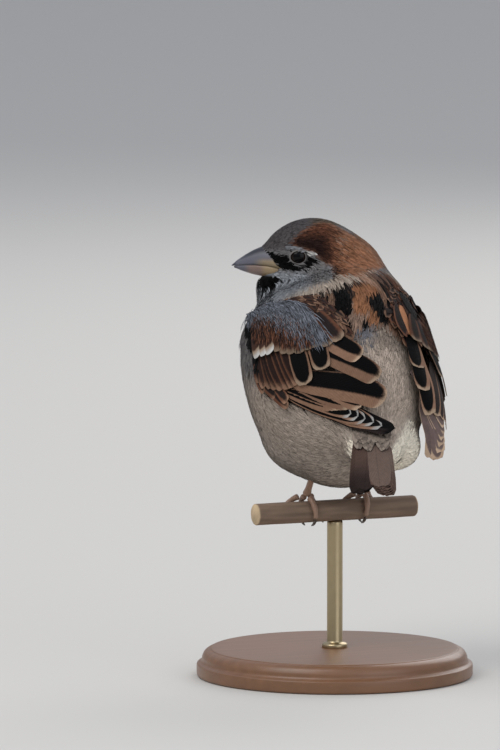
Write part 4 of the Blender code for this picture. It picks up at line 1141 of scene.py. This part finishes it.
# %% Materials
def feather_material():
    """Edge tint, a dark centre shaped by the mark, barb lines, a shaft and mottling."""
    m, tree, shader = material("plumage", 0.75, Sheen_Weight=0.02, Sheen_Roughness=0.5, Specular_IOR_Level=0.06)

    def do(op, a, b=0.0, c=0.0):
        return calc(tree, op, a, b, c)

    edge = node(tree, "ShaderNodeAttribute", attribute_name="edge_tint").outputs["Color"]
    mid = node(tree, "ShaderNodeAttribute", attribute_name="centre_tint").outputs["Color"]
    mark = node(tree, "ShaderNodeAttribute", attribute_name="mark").outputs["Vector"]
    mark_wide, mark_tall, soft = node(tree, "ShaderNodeSeparateXYZ", {0: mark}).outputs
    vane = node(tree, "ShaderNodeUVMap", uv_map="vane").outputs[0]
    vane_x, y, _ = node(tree, "ShaderNodeSeparateXYZ", {0: vane}).outputs
    lean = node(tree, "ShaderNodeAttribute", attribute_name="lean").outputs["Fac"]
    across = do("MULTIPLY_ADD", vane_x, 2.0, -1.0)
    x = do("ABSOLUTE", across)
    wide = do("DIVIDE", do("ABSOLUTE", do("SUBTRACT", across, lean)), do("MAXIMUM", mark_wide, 0.001))
    tall = do("DIVIDE", do("MAXIMUM", do("SUBTRACT", y, 0.3), 0.0), do("SUBTRACT", mark_tall, 0.3))
    wobble = do("MULTIPLY", do("SUBTRACT", grain(tree, 1300, 3.0), 0.5), do("MULTIPLY", soft, 1.4))
    r = do("ADD", do("SQRT", do("ADD", do("POWER", wide, 3.0), do("POWER", tall, 4.0))), wobble)
    span = {0: r, 1: do("SUBTRACT", 1.0, soft), 2: do("ADD", 1.0, soft), 3: 1.0, 4: 0.0}
    dark = node(tree, "ShaderNodeMapRange", span, interpolation_type="SMOOTHSTEP").outputs[0]
    c = blend_colour(tree, dark, edge, mid)
    barbs = do("SINE", do("MULTIPLY_ADD", y, 150.0, do("MULTIPLY", x, -32.0)))
    mottling = do("MULTIPLY_ADD", grain(tree, 700, 4.0), 0.5, 0.75)
    light = do("MULTIPLY", mottling, do("MULTIPLY_ADD", barbs, 0.05, 1.0))
    shaft = do("LESS_THAN", x, 0.035)
    light = do("MULTIPLY", light, do("MULTIPLY_ADD", shaft, -0.2, 1.0))
    shaded(tree, shader, c, light)
    bumped(tree, shader, barbs, 0.25, 0.0001)
    return m


def tinted(name, roughness, scale, contrast, bump=0.0, stretch=(1, 1, 1), **sockets):
    """A finish whose colour is each point's tint with mottling in object coordinates."""
    m, tree, shader = material(name, roughness, **sockets)
    c = node(tree, "ShaderNodeAttribute", attribute_name="tint").outputs["Color"]
    g = grain(tree, scale, 4.0, stretch)
    shaded(tree, shader, c, calc(tree, "MULTIPLY_ADD", g, 2 * contrast, 1.0 - contrast))
    if bump:
        bumped(tree, shader, g, 0.6, bump)
    return m


def dress(o, finish, colour):
    """Gives a piece its finish and its tint, one for all points or one for each."""
    add_attr(o, "tint", "FLOAT_COLOR", np.broadcast_to(colour, (len(o.data.vertices), 3)))
    o.data.materials.append(finish)


FEATHER = feather_material()
SKIN = tinted("skin_under_coat", 0.8, 900, 0.2, Specular_IOR_Level=0.2)
HORN = tinted("bill_horn", 0.38, 500, 0.12, 0.00003, (1, 1, 3), Specular_IOR_Level=0.3, Coat_Weight=0.1,
              Coat_Roughness=0.3)
EYE_SHINE = tinted("eye_gloss", 0.1, 300, 0.1, Specular_IOR_Level=0.05, Coat_Weight=0.18, Coat_Roughness=0.02)
SCALE = tinted("leg_scales", 0.5, 900, 0.2, 0.00005)
BARK = tinted("bark", 0.85, 260, 0.45, 0.0004, (0.3, 1, 1))
WOOD = tinted("stand_wood", 0.42, 60, 0.28, 0.00006, (0.5, 6, 6), Coat_Weight=0.2, Coat_Roughness=0.25)
METAL = tinted("stand_metal", 0.34, 400, 0.08, Metallic=1.0)
print("finishes:", ", ".join(m.name for m in (FEATHER, SKIN, HORN, EYE_SHINE, SCALE, BARK, WOOD, METAL)))

# %% [markdown]
# ## Skin
# Under the feathers lies skin over muscle. It is lofted ring by ring on the chart, a few millimetres below
# the outline, so that it closes the body; between feathers it shows the coat's tint darkened, as painted shade.

# %% Skin
def loft(name, grid, wrap_rows=False, start=None, end=None):
    """A closed surface from rings of points: each ring is closed, ends close on a point."""
    rows, cols = grid.shape[:2]
    i = np.arange(rows * cols).reshape(rows, cols)
    nxt = np.roll(i, -1, 1)
    down = np.roll(i, -1, 0) if wrap_rows else i[1:]
    n = rows if wrap_rows else rows - 1
    quads = np.stack([i[:n], nxt[:n], np.roll(down, -1, 1)[:n], down[:n]], -1).reshape(-1, 4)
    points, tris = grid.reshape(-1, 3), []
    for ring, tip, flip in ((i[0], start, False), (i[-1], end, True)):
        if tip is not None:
            t = np.stack([np.full(cols, len(points)), np.roll(ring, -1), ring], -1)
            tris.append(t[:, ::-1] if flip else t)
            points = np.concatenate([points, [tip]])
    tris = np.concatenate(tris) if tris else np.empty((0, 3), int)
    a, b, c, d = (points[quads[:, k]] for k in range(4))
    if (np.cross(c - a, d - b) * ((a + c) / 2 - points.mean(0))).sum() < 0:
        quads, tris = quads[:, ::-1], tris[:, ::-1]
    return mesh_of(name, points, quads, tris)


skin = loft("skin", skin_grid, start=skin_grid[0].mean(0), end=skin_grid[-1].mean(0))
grid_a, grid_b = np.meshgrid(np.arange(ROWS), np.arange(COLS), indexing="ij")
skin_tint = coat_tint(grid_a.astype(float), grid_b.astype(float), skin_grid).reshape(-1, 3)
IN_SHADE = 0.55  # painted shade between feathers: the skin is darker than the feathers over it
dress(skin, SKIN, np.concatenate([skin_tint, skin_tint[[0, -1]]]) * IN_SHADE)
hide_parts("head", "neck", "trunk", "rump", "leg_left", "leg_right")
print("skin points", len(skin.data.vertices))

# %% [markdown]
# ## Coat
# The coat is laid like the bird's own: contour feathers in even rows, and over them the loose barbs that
# make it look soft. Each name below is one object, with its count of roots and its own random start.

# %% Coat
coat = {
    "head_feathers": [head_coat(3000, 1)],
    "head_barbs_a": [head_coat(6400, 11, True)],
    "head_barbs_b": [head_coat(6400, 12, True)],
    "contour_feathers_a": [trunk_coat(2450, 2)],
    "contour_feathers_b": [trunk_coat(2450, 21)],
    "loose_barbs_a": [strand_coat(6100, 3)],
    "loose_barbs_b": [strand_coat(6100, 4)],
    "loose_barbs_c": [strand_coat(6100, 5)],
    "mantle_feathers": [mantle(460, 50), mantle(1500, 51, True)],
}
for side in wings:
    coat[f"{side}_wing_feathers"] = wing_sets[side]
    coat[f"{side}_shoulder_feathers"] = shoulder(side, 60 if side == "left" else 90)
coat_pieces = {name: plumage(name, sets) for name, sets in coat.items()}
for side in wings:
    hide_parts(*[f"wing_{side}_{k}" for k in ("shoulder", "tertials", "primaries")])

# %% [markdown]
# ## Tail
# Twelve tail feathers close like a fan on each other, the middle pair on top. Upper and under tail
# coverts hide their quills. The sheet follows the CAD tail from its root to its tip.

# %% Tail
TAIL_ROOT, TAIL_TIP = np.array([-0.2, 25.5, 87.0]), np.array([18.4, 64.3, 65.4])
TAIL_W0, TAIL_W1 = 7.0, 13.6  # width at root and tip
S0, S1, X0, X1, TS, TX = -0.5, 1.05, -2.0, 2.0, 60, 40  # reach of the sheet along and across, and its rows and columns
run = TAIL_TIP - TAIL_ROOT
tail_left = unit(np.cross([0, 0, 1.0], unit(run)))
tail_left *= np.sign(tail_left[0])
tail_up = np.cross(tail_left, unit(run))
tail_up *= np.sign(tail_up[2])
ts, tx = np.linspace(S0, S1, TS)[:, None], np.linspace(X0, X1, TX)[None]
half = np.maximum(TAIL_W0 + (TAIL_W1 - TAIL_W0) * ts, 4.0) / 2
tail_grid = (TAIL_ROOT + run * ts[..., None] + tail_left * (half * tx)[..., None]
             + tail_up * (0.6 - 0.9 * tx**2 * np.maximum(ts, 0) + 2.2 * ts * (1 - ts))[..., None])  # arched both ways
tail = Chart(tail_grid, False, lambda q: np.broadcast_to(tail_up, q.shape))


def tail_spot(s, x):
    """Chart index of a tail place: s from root to tip, x across, left positive."""
    return (np.asarray(s) - S0) / (S1 - S0) * (TS - 1), (np.asarray(x) - X0) / (X1 - X0) * (TX - 1)


TAIL_CELLS = 12


def tail_set(s0, x0, s1, x1, width, height, edge, mid, mark, first, seed, tip=None, lean=0.0, **cut):
    """Feathers on the tail sheet from (s0, x0) to (s1, x1)."""
    made = feathers(tail, *tail_spot(s0, x0), width, np.asarray(height) - 0.3, height, dome=0.05,
                    outline=FLIGHT, ragged=0.02, thick=0.12, seed=seed, ends=tail_spot(s1, x1), crowd=1.5, **cut)
    return coloured(made, cells(first, made["n"], TAIL_CELLS), edge, mid, mark, tip, lean, tip_from=0.6)


pair = np.repeat(np.arange(6), 2)  # 0 is the outermost pair
sign = np.tile([1.0, -1.0], 6)
rng = np.random.default_rng(SEED)
tone = 1 + 0.08 * rng.standard_normal((12, 1))
dark, worn = tint(78, 61, 54), tint(112, 94, 85)
edge = np.where(sign[:, None] > 0, dark, worn) * tone
middle = edge * 0.75
edge[11] = TAIL_EDGE  # the top feather keeps a worn pale margin on its left
quill_mark = np.where(pair[:, None] * (sign[:, None] < 0) == 5, (0.93, 1.2, 0.08), (0.0, 1.0, 0.1))
at_end = np.where(sign[:, None] > 0, tint(40, 31, 29), tint(86, 68, 60)) * tone
s_tip = 1.0 - 0.012 * pair * (sign < 0) - 0.025 * np.abs(pair - 2) * (sign > 0) / 3
x_tip = sign * (0.66 - 0.06 * pair) - 0.06
x_tip[11] = -0.42
quills = tail_set(np.full(12, -0.05), sign * (0.40 - 0.06 * pair), s_tip, x_tip, np.where(sign > 0, 7.4, 8.4),
                  -0.7 + 0.24 * pair + 0.08 * (sign < 0), edge, middle, quill_mark, 0, 31, at_end, 0.12,
                  nu=8, nv=12, notch=(0.03, 0.0, 0.03), soft=0.5)
UPPER_COVERTS, UNDER_COVERTS = 90, 26
COVERT = dict(nu=6, nv=6, notch=(0.3, 0.05, 0, 0.05, 0.3))
u, v = rng.random(UPPER_COVERTS), rng.random(UPPER_COVERTS)
shade = (0.22 + 0.28 * rng.random((UPPER_COVERTS, 1))) * np.array([RUMP])
upper = tail_set(0.05 + 0.22 * u, (2 * v - 1) * 1.3, 0.30 + 0.24 * u, (2 * v - 1) * 1.0, 2.4, 2.1 - 1.2 * u,
                 shade, shade * 0.8, (0.5, 0.8, 0.4), 12, 32, **COVERT)
u, v = rng.random(UNDER_COVERTS), (np.arange(UNDER_COVERTS) + 0.5) / UNDER_COVERTS
under = tail_set(-0.34 + 0.2 * u, (2 * v - 1) * 1.3, 0.18 + 0.28 * u, (2 * v - 1) * 0.95, 5.2, 1.7 - 0.6 * u,
                 CREAM, SAND, (0.3, 0.7, 0.5), 12 + UPPER_COVERTS, 33, flip=-1.0, **COVERT)
tail_piece = plumage("tail_feathers", [quills, upper, under])
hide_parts("tail_centre", "tail_left", "tail_right")

# %% [markdown]
# ## Bill
# The two halves are horn over bone: a curved ridge above, a flatter keel below, meeting at the cutting
# edge. Sections across the bill's axis are lofted, and the tint runs from slate on the ridge to a straw
# patch at the gape.

# %% Bill
BILL_AT = {  # places along the head's forward axis in mm, and there the height or the half width
    "ridge": ([11, 15, 18, 20.5, 23, 25.5, 27.5], [5.2, 5.2, 4.7, 3.7, 2.35, 0.8, -0.9]),
    "keel": ([11, 15, 18.8, 21, 24, 26.5, 27.5], [-5.0, -5.0, -4.3, -3.7, -2.6, -1.5, -1.1]),
    "cut": ([11, 13, 16, 20, 24, 27.5], [-2.3, -1.6, -0.9, -0.6, -0.7, -1.0]),
    "wide": ([11, 14, 16.5, 19, 22, 25, 27.5], [6.3, 5.5, 4.5, 3.7, 2.6, 1.25, 0.3])}
ARC_POINTS, FLOOR_POINTS = 21, 7  # round a section's outer side and along its inner one
SLATE_HORN, DARK_HORN, STRAW, PINK = tint(94, 95, 106), tint(44, 45, 54), tint(158, 138, 104), tint(128, 108, 100)


def rounded_line(x, xs, ys):
    """A line through the places with its corners worn off."""
    fine = np.linspace(xs[0] - 1, xs[-1] + 1, 400)
    y = np.interp(fine, xs, ys)
    for _ in range(60):
        y[1:-1] = (y[:-2] + 2 * y[1:-1] + y[2:]) / 4
    return np.interp(x, fine, y)


def bill_half(name, upper_half):
    """Sections between ridge and cutting edge along the head's forward axis, closed by a rounded tip."""
    s = np.concatenate([np.linspace(11.0, 26.4, 34), 27.4 - np.array([0.6, 0.3, 0.08])])
    s = s if upper_half else np.minimum(s, 26.9) - np.linspace(0, 0.35, len(s)) * (s > 26)
    s = np.maximum.accumulate(s + np.arange(len(s)) * 1e-4)
    ridge, keel, cut, wide = (rounded_line(s, *BILL_AT[key])[:, None] for key in ("ridge", "keel", "cut", "wide"))
    a = np.linspace(0, np.pi, ARC_POINTS)[None]
    flank = np.sign(np.cos(a)) * np.abs(np.cos(a)) ** (0.9 if upper_half else 0.85)
    if upper_half:
        y, z = wide * flank, cut + 0.05 + np.maximum(ridge - cut, 0.15) * np.sin(a) ** 0.8
    else:
        y, z = 0.93 * wide * flank, cut - 0.1 - np.maximum(cut - keel, 0.15) * np.sin(a) ** 0.7
    inner = np.linspace(1, -1, FLOOR_POINTS + 2)[None, 1:-1]
    y = np.concatenate([y, -wide * 0.93 * inner], 1)
    z = np.concatenate([z, np.repeat(z[:, :1], FLOOR_POINTS, 1)], 1)
    grid = at_head(np.stack([np.repeat(s[:, None], y.shape[1], 1), y, z], -1))
    o = loft(name, grid, start=grid[0].mean(0), end=grid[-1].mean(0) + HEAD_FORWARD * 0.08)
    f, _, u = to_head(own_points(o)).T
    if upper_half:
        c = paint(plain(SLATE_HORN, f), DARK_HORN, ease((u - 1.5 + (f - 18) * 0.22) / 2.5))
        c = paint(c, STRAW, 0.85 * ease((21.0 - f) / 4.5) * ease((1.9 - u) / 2.0))
    else:
        c = paint(plain(PINK, f), SLATE_HORN, ease((f - 21) / 3))
        c = paint(c, STRAW, 0.8 * ease((18.8 - f) / 2.5))
    dress(o, HORN, paint(c, DARK_HORN * 0.8, 0.8 * ease((f - 25.2) / 1.6)))
    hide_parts(name.replace("_horn", ""))
    return o


for half_name, up in (("bill_upper_horn", True), ("bill_lower_horn", False)):
    print(half_name, len(bill_half(half_name, up).data.polygons), "faces")

# %% [markdown]
# ## Eyes and lids
# The eyeball is a ball of dark brown iris and black pupil under a clear wet layer. The lids are a soft
# ring of bare skin that narrows the ball to a small almond, with a rounded rim.

# %% Eyes and lids
EYE_OPEN = (2.4, 1.95)  # half length and half height of the opening
LID_WIDE, LID_THICK, LID_GAP = 0.24, 0.15, 0.10
PUPIL, IRIS = tint(8, 8, 9), tint(26, 18, 14)


def eyeball(side, sgn, centre):
    """A ball about the axis that points out of the head."""
    polar = np.linspace(0, np.pi, 34)[1:-1, None]
    round_it = np.linspace(0, 2 * np.pi, 48, endpoint=False)[None]
    ball = [np.sin(polar) * np.cos(round_it), sgn * np.cos(polar) + 0 * round_it, np.sin(polar) * np.sin(round_it)]
    outward = sgn * HEAD_LEFT * EYE_R
    o = loft(f"eyeball_{side}", centre + EYE_R * np.stack(ball, -1) @ HF, start=centre + outward, end=centre - outward)
    off_axis = np.linalg.norm(((own_points(o) - centre) @ HF.T)[:, [0, 2]], axis=-1)
    dress(o, EYE_SHINE, paint(plain(PUPIL, off_axis), IRIS, ease((off_axis - 1.5) / 0.3)))
    return o


def eyelid(side, sgn, centre):
    """A rounded ring that hugs the ball; its outline runs a little to a point in front."""
    phi = np.linspace(0, 2 * np.pi, 72, endpoint=False)[:, None]
    loop = np.linspace(0, 2 * np.pi, 12, endpoint=False)[None]
    out = LID_WIDE * (1 - np.cos(loop))
    rf, ru = (EYE_OPEN[0] + out) * np.cos(phi), (EYE_OPEN[1] + out * 0.95) * np.sin(phi)
    rf = rf * (1 + 0.06 * np.cos(phi) ** 3)
    ball_r = EYE_R + LID_GAP + LID_THICK - LID_THICK * np.sin(loop)
    side_y = np.sqrt(np.maximum(ball_r**2 - rf**2 - ru**2, 0.05))
    o = loft(f"eyelid_{side}", centre + np.stack([rf, sgn * side_y, ru], -1) @ HF, wrap_rows=True)
    dress(o, SKIN, tint(112, 108, 106))
    return o


for side, sgn in (("left", 1.0), ("right", -1.0)):
    centre = at_head((EYE[0], sgn * EYE[1], EYE[2]))
    eye = eyeball(side, sgn, centre)
    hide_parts(f"eye_{side}")
    eyelid(side, sgn, centre)
print("eyes stand", round(float(field(at_head((EYE[0], EYE[1] + EYE_R, EYE[2]))[None])[0]), 2), "mm out of the coat")

# %% [markdown]
# ## Legs and feet
# Bare shanks and toes are covered in plates. Each is a tube along its bones with shallow steps, one for
# each plate, and pads under the toes. The toes wrap the perch; the claws of the CAD frame stay and get a
# horn finish.

# %% Legs and feet
PERCH_LO, PERCH_HI = node_mm("perch_twig")
PERCH_Z, PERCH_R, PERCH_X = (PERCH_LO[2] + PERCH_HI[2]) / 2, (PERCH_HI[2] - PERCH_LO[2]) / 2, PERCH_HI[0]
GAP = 0.3  # between the toes and the perch
PLATE_ROWS = 5  # rings in one plate
TOES = [  # sideways start and splay in mm, then the angles over the perch at which the toe starts and ends
    (-0.2, -1.0, -26.0, -112.0), (0.0, 0.0, 24.0, 118.0), (2.35, 4.2, 20.0, 98.0), (-2.35, -4.4, 20.0, 106.0)]


def plated(name, path, radii, plates, cols):
    """A tube along a path with a shallow step for each plate on its outer side, closed at both ends."""
    k = np.linspace(0, 1, plates * PLATE_ROWS)
    p = smooth_path(path, k)
    r = np.interp(k, np.linspace(0, 1, len(radii)), radii)
    t = unit(np.gradient(p, axis=0))
    ref = np.array([1.0, 0.05, 0.02])
    a = unit(ref - t * (t @ ref)[:, None])
    b = np.cross(t, a)
    ang = np.linspace(0, 2 * np.pi, cols, endpoint=False)
    saw = (k * plates) % 1.0
    bulge = 1 + 0.07 * (np.sin(np.pi * saw) ** 0.5 - 0.6)[:, None] * (0.6 + 0.4 * np.sin(ang))
    round_it = np.cos(ang)[:, None] * a[:, None] + np.sin(ang)[:, None] * b[:, None]
    ring = p[:, None] + (r[:, None] * bulge)[..., None] * round_it
    return loft(name, ring, start=p[0] - t[0] * r[0] * 0.3, end=p[-1] + t[-1] * r[-1] * 0.5)


for side, sgn in (("left", 1.0), ("right", -1.0)):
    foot = np.array([sgn * 10.0, 0.4, PERCH_Z + PERCH_R + GAP + 2.0])
    ankle = np.array([sgn * 11.6, 12.5, 72.5])
    top = ankle + unit(foot - ankle) * 1.2
    path = [top, top * 0.6 + foot * 0.4, foot * 0.85 + top * 0.15, foot]
    pieces = [(plated(f"shank_{side}", path, (1.15, 0.95, 1.05, 1.4), 11, 16), f"tarsus_{side}")]
    for toe, (dx, splay, lead, sweep) in enumerate(TOES):
        k = np.linspace(0, 1, 7)
        ang = np.radians(lead + (sweep - lead) * k - (4.0 if toe else -4.0) * k)
        r = 0.95 - 0.23 * k
        rad = PERCH_R + GAP + 0.12 + r
        path = np.stack([foot[0] + sgn * (dx + splay * k), -rad * np.sin(ang), PERCH_Z + rad * np.cos(ang)], -1)
        o = plated(f"toe_plates_{side}_{toe + 1}", path, r * (1 + 0.1 * np.cos(k * 12)), 10, 12)
        pieces.append((o, f"toe_{side}_{toe + 1}"))
    for o, cad in pieces:
        dress(o, SCALE, tint(146, 116, 98))
        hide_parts(cad)
    print(side, "leg:", ", ".join(o.name for o, _ in pieces))

CLAW, tree, shader = material("claw_horn", 0.35, Specular_IOR_Level=0.4)
tree.links.new(blend_colour(tree, grain(tree, 600), (*tint(52, 44, 40), 1), (*tint(88, 76, 68), 1)),
               shader.inputs["Base Color"])
for name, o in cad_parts.items():
    if name.startswith("claw_"):
        o.data.materials.clear()
        o.data.materials.append(CLAW)
        o.data.polygons.foreach_set("use_smooth", np.ones(len(o.data.polygons), bool))

# %% [markdown]
# ## Perch and stand
# The perch is a short length of cut twig with ridged bark and pale sawn ends. It is held by a turned
# wooden base and one metal rod, as a museum would mount it.

# %% Perch
x = np.linspace(-PERCH_X, PERCH_X, 120)
ang = np.linspace(0, 2 * np.pi, 72, endpoint=False)
rng = np.random.default_rng(SEED + 5)
ridges = 0
for m in range(3, 16):  # each wave round the twig wanders a little along it
    size, start, wander = rng.normal(), rng.random() * 6, rng.random() * 6
    ridges = ridges + size * np.cos(m * ang + start + 0.12 * np.sin(0.2 * x[:, None] + wander) * m) / m**0.5
r = PERCH_R - 0.16 + 0.045 * np.clip(ridges, -2.5, 2.5)
r = r * (0.93 + 0.07 * ease((PERCH_X - np.abs(x)) / 0.5)[:, None])  # the sawn ends are a little narrower
grid = np.stack([x[:, None] + 0 * r, r * np.cos(ang), PERCH_Z + r * np.sin(ang)], -1)
twig = loft("perch_bark", grid, start=(-PERCH_X, 0, PERCH_Z), end=(PERCH_X, 0, PERCH_Z))
off_middle = np.abs(own_points(twig)[:, 0])
# the bark is darker in its grooves and lighter on its ridges: painted shade
bark = plain(tint(122, 102, 86), off_middle) * (1 + 0.25 * np.concatenate([ridges.ravel() / 3, [0, 0]]))[:, None]
bark = paint(bark, tint(196, 172, 138), ease((off_middle - PERCH_X + 0.3) / 0.25))
dress(twig, BARK, np.clip(bark, 0, 1))
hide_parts("perch_twig")
print("twig", round(2 * PERCH_X, 1), "mm long and", round(2 * PERCH_R, 1), "mm thick")

# %% Turned base
def turned(name, profile, cols, top):
    """A shape turned on the upright axis from radii and heights, closed at the first height and at top."""
    ang = np.linspace(0, 2 * np.pi, cols, endpoint=False)
    grid = [profile[:, :1] * np.cos(ang), profile[:, :1] * np.sin(ang), np.repeat(profile[:, 1:], cols, 1)]
    return loft(name, np.stack(grid, -1), start=(0, 0, profile[0, 1]), end=(0, 0, top))


R, _, H = node_mm("stand_base")[1]
profile = [(R - 1.0, 0.0), (R - 0.3, 0.3), (R, 1.0), (R, 3.6), (R - 0.35, 4.2), (R - 1.2, 4.6), (R - 1.6, 5.2),
           (R - 1.8, 6.4), (R - 2.6, 7.8), (R - 4.2, H - 0.35), (R - 6.5, H), (0.5 * R, H), (8.0, H)]
profile = smooth_path(profile, np.linspace(0, 1, 80))
profile[:, 1] = np.clip(profile[:, 1], 0, H)
base = turned("stand_turned_base", profile, 128, H)
dress(base, WOOD, tint(120, 84, 58))
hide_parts("stand_base")
print("base", round(2 * R, 1), "mm across and", round(H, 1), "mm high")

# %% Rod
INTO_TWIG = 0.5  # the rod's end is let into the twig
lo, hi = node_mm("stand_rod")
r0, top = (hi[0] - lo[0]) / 2, hi[2]
collar = [(1.2, 0), (1.56, 0), (1.6, 0.06), (1.6, 0.9), (1.5, 1.2), (1.1, 1.5), (0.3, 1.7), (0.1, 1.9), (0, 2.4)]
shaft = [(r0, top - 1.5), (r0, top), (r0 - 0.1, top + INTO_TWIG)]
profile = np.array([(r0 + wide, H + high) for wide, high in collar] + shaft)
rod = turned("stand_metal_rod", profile, 64, top + INTO_TWIG)
rod.data.polygons.foreach_set("use_smooth", np.ones(len(rod.data.polygons), bool))
dress(rod, METAL, tint(176, 160, 128))
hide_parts("stand_rod")
print("rod", round(2 * r0, 1), "mm thick, up to", round(top, 1), "mm")

# %% [markdown]
# ## Floor, light and camera
# The floor is a pale dish that curves up far away, so no horizon shows from any side. A large soft lamp
# from the upper left, a weaker fill and a pale sky stand for an overcast day. The camera looks at the
# bird's left back from a little above, through a long lens.

# %% Floor
ROUND_FLOOR, FLAT_TO = 96, 4500  # points round it, and the radius in mm at which it starts to rise
rad = np.concatenate([[0.5], np.linspace(600, 9000, 30)])
high = 3000 * ease((rad - FLAT_TO) / 5200) ** 1.2
ang = np.linspace(0, 2 * np.pi, ROUND_FLOOR, endpoint=False)
grid = np.stack([rad[:, None] * np.cos(ang), rad[:, None] * np.sin(ang), np.repeat(high[:, None], ROUND_FLOOR, 1)], -1)
i = np.arange(len(rad) * ROUND_FLOOR).reshape(-1, ROUND_FLOOR)
quads = np.stack([i[:-1], i[1:], np.roll(i[1:], -1, 1), np.roll(i[:-1], -1, 1)], -1).reshape(-1, 4)
me = bpy.data.meshes.new("floor")
me.from_pydata((grid.reshape(-1, 3) * MM).tolist(), [], [*quads.tolist(), i[0][::-1].tolist()])
me.polygons.foreach_set("use_smooth", np.ones(len(me.polygons), bool))
floor = bpy.data.objects.new("floor", me)
bpy.context.scene.collection.objects.link(floor)
floor.data.materials.append(material("floor", 0.9, Base_Color=(*tint(205, 203, 198), 1))[0])
print("floor", len(quads), "faces")

# %% Light and camera
VIEW_TURN, VIEW_RISE, DISTANCE = np.radians(25.0), np.radians(6.0), 2500.0
LENS_MM, NEAR_M, FAR_M = 378.0, 0.1, 40
right = np.array([-np.cos(VIEW_TURN), np.sin(VIEW_TURN), 0])
flat = np.array([-np.sin(VIEW_TURN), -np.cos(VIEW_TURN), 0])
up = flat * np.sin(VIEW_RISE) + np.array([0, 0, np.cos(VIEW_RISE)])
ahead = flat * np.cos(VIEW_RISE) - np.array([0, 0, np.sin(VIEW_RISE)])
aim = np.array([0, 0, 101.0]) - 27.0 * right - 4.76 * up


def place(o, at, target):
    """Puts an object at a point, its -Z towards the target, Y up."""
    o.location = Vector(np.asarray(at) * MM)
    o.rotation_euler = Vector((np.asarray(target) - np.asarray(at)) * MM).to_track_quat("-Z", "Y").to_euler()


camera = bpy.data.objects.new("camera", bpy.data.cameras.new("camera"))
bpy.context.scene.collection.objects.link(camera)
camera.data.lens, camera.data.clip_start, camera.data.clip_end = LENS_MM, NEAR_M, FAR_M
place(camera, aim - ahead * DISTANCE, aim)
bpy.context.scene.camera = camera


def lamp(name, at, size, watts, colour):
    """A square soft lamp aimed at the bird."""
    data = bpy.data.lights.new(name, "AREA")
    data.size, data.energy, data.color = size, watts, colour
    o = bpy.data.objects.new(name, data)
    bpy.context.scene.collection.objects.link(o)
    place(o, at, (0, 0, 100))


lamp("key", -ahead * 900 - right * 900 + np.array([0, 0, 1500]), 1.3, 20, (1.0, 0.98, 0.95))
lamp("fill", -ahead * 1400 + right * 1200 + np.array([0, 0, 500]), 1.4, 7, (0.93, 0.96, 1.0))
lamp("back", ahead * 1200 + right * 600 + np.array([0, 0, 1100]), 1.2, 9, (1.0, 0.98, 0.96))
world = bpy.data.worlds.new("sky")
world.use_nodes = True
sky = world.node_tree.nodes["Background"].inputs
sky["Color"].default_value, sky["Strength"].default_value = (0.86, 0.9, 1.0, 1), 0.6
bpy.context.scene.world = world
bpy.context.scene.view_settings.view_transform = "Standard"
print("camera at", np.array(camera.location).round(2), "m, lens", LENS_MM, "mm, three lamps and a sky")
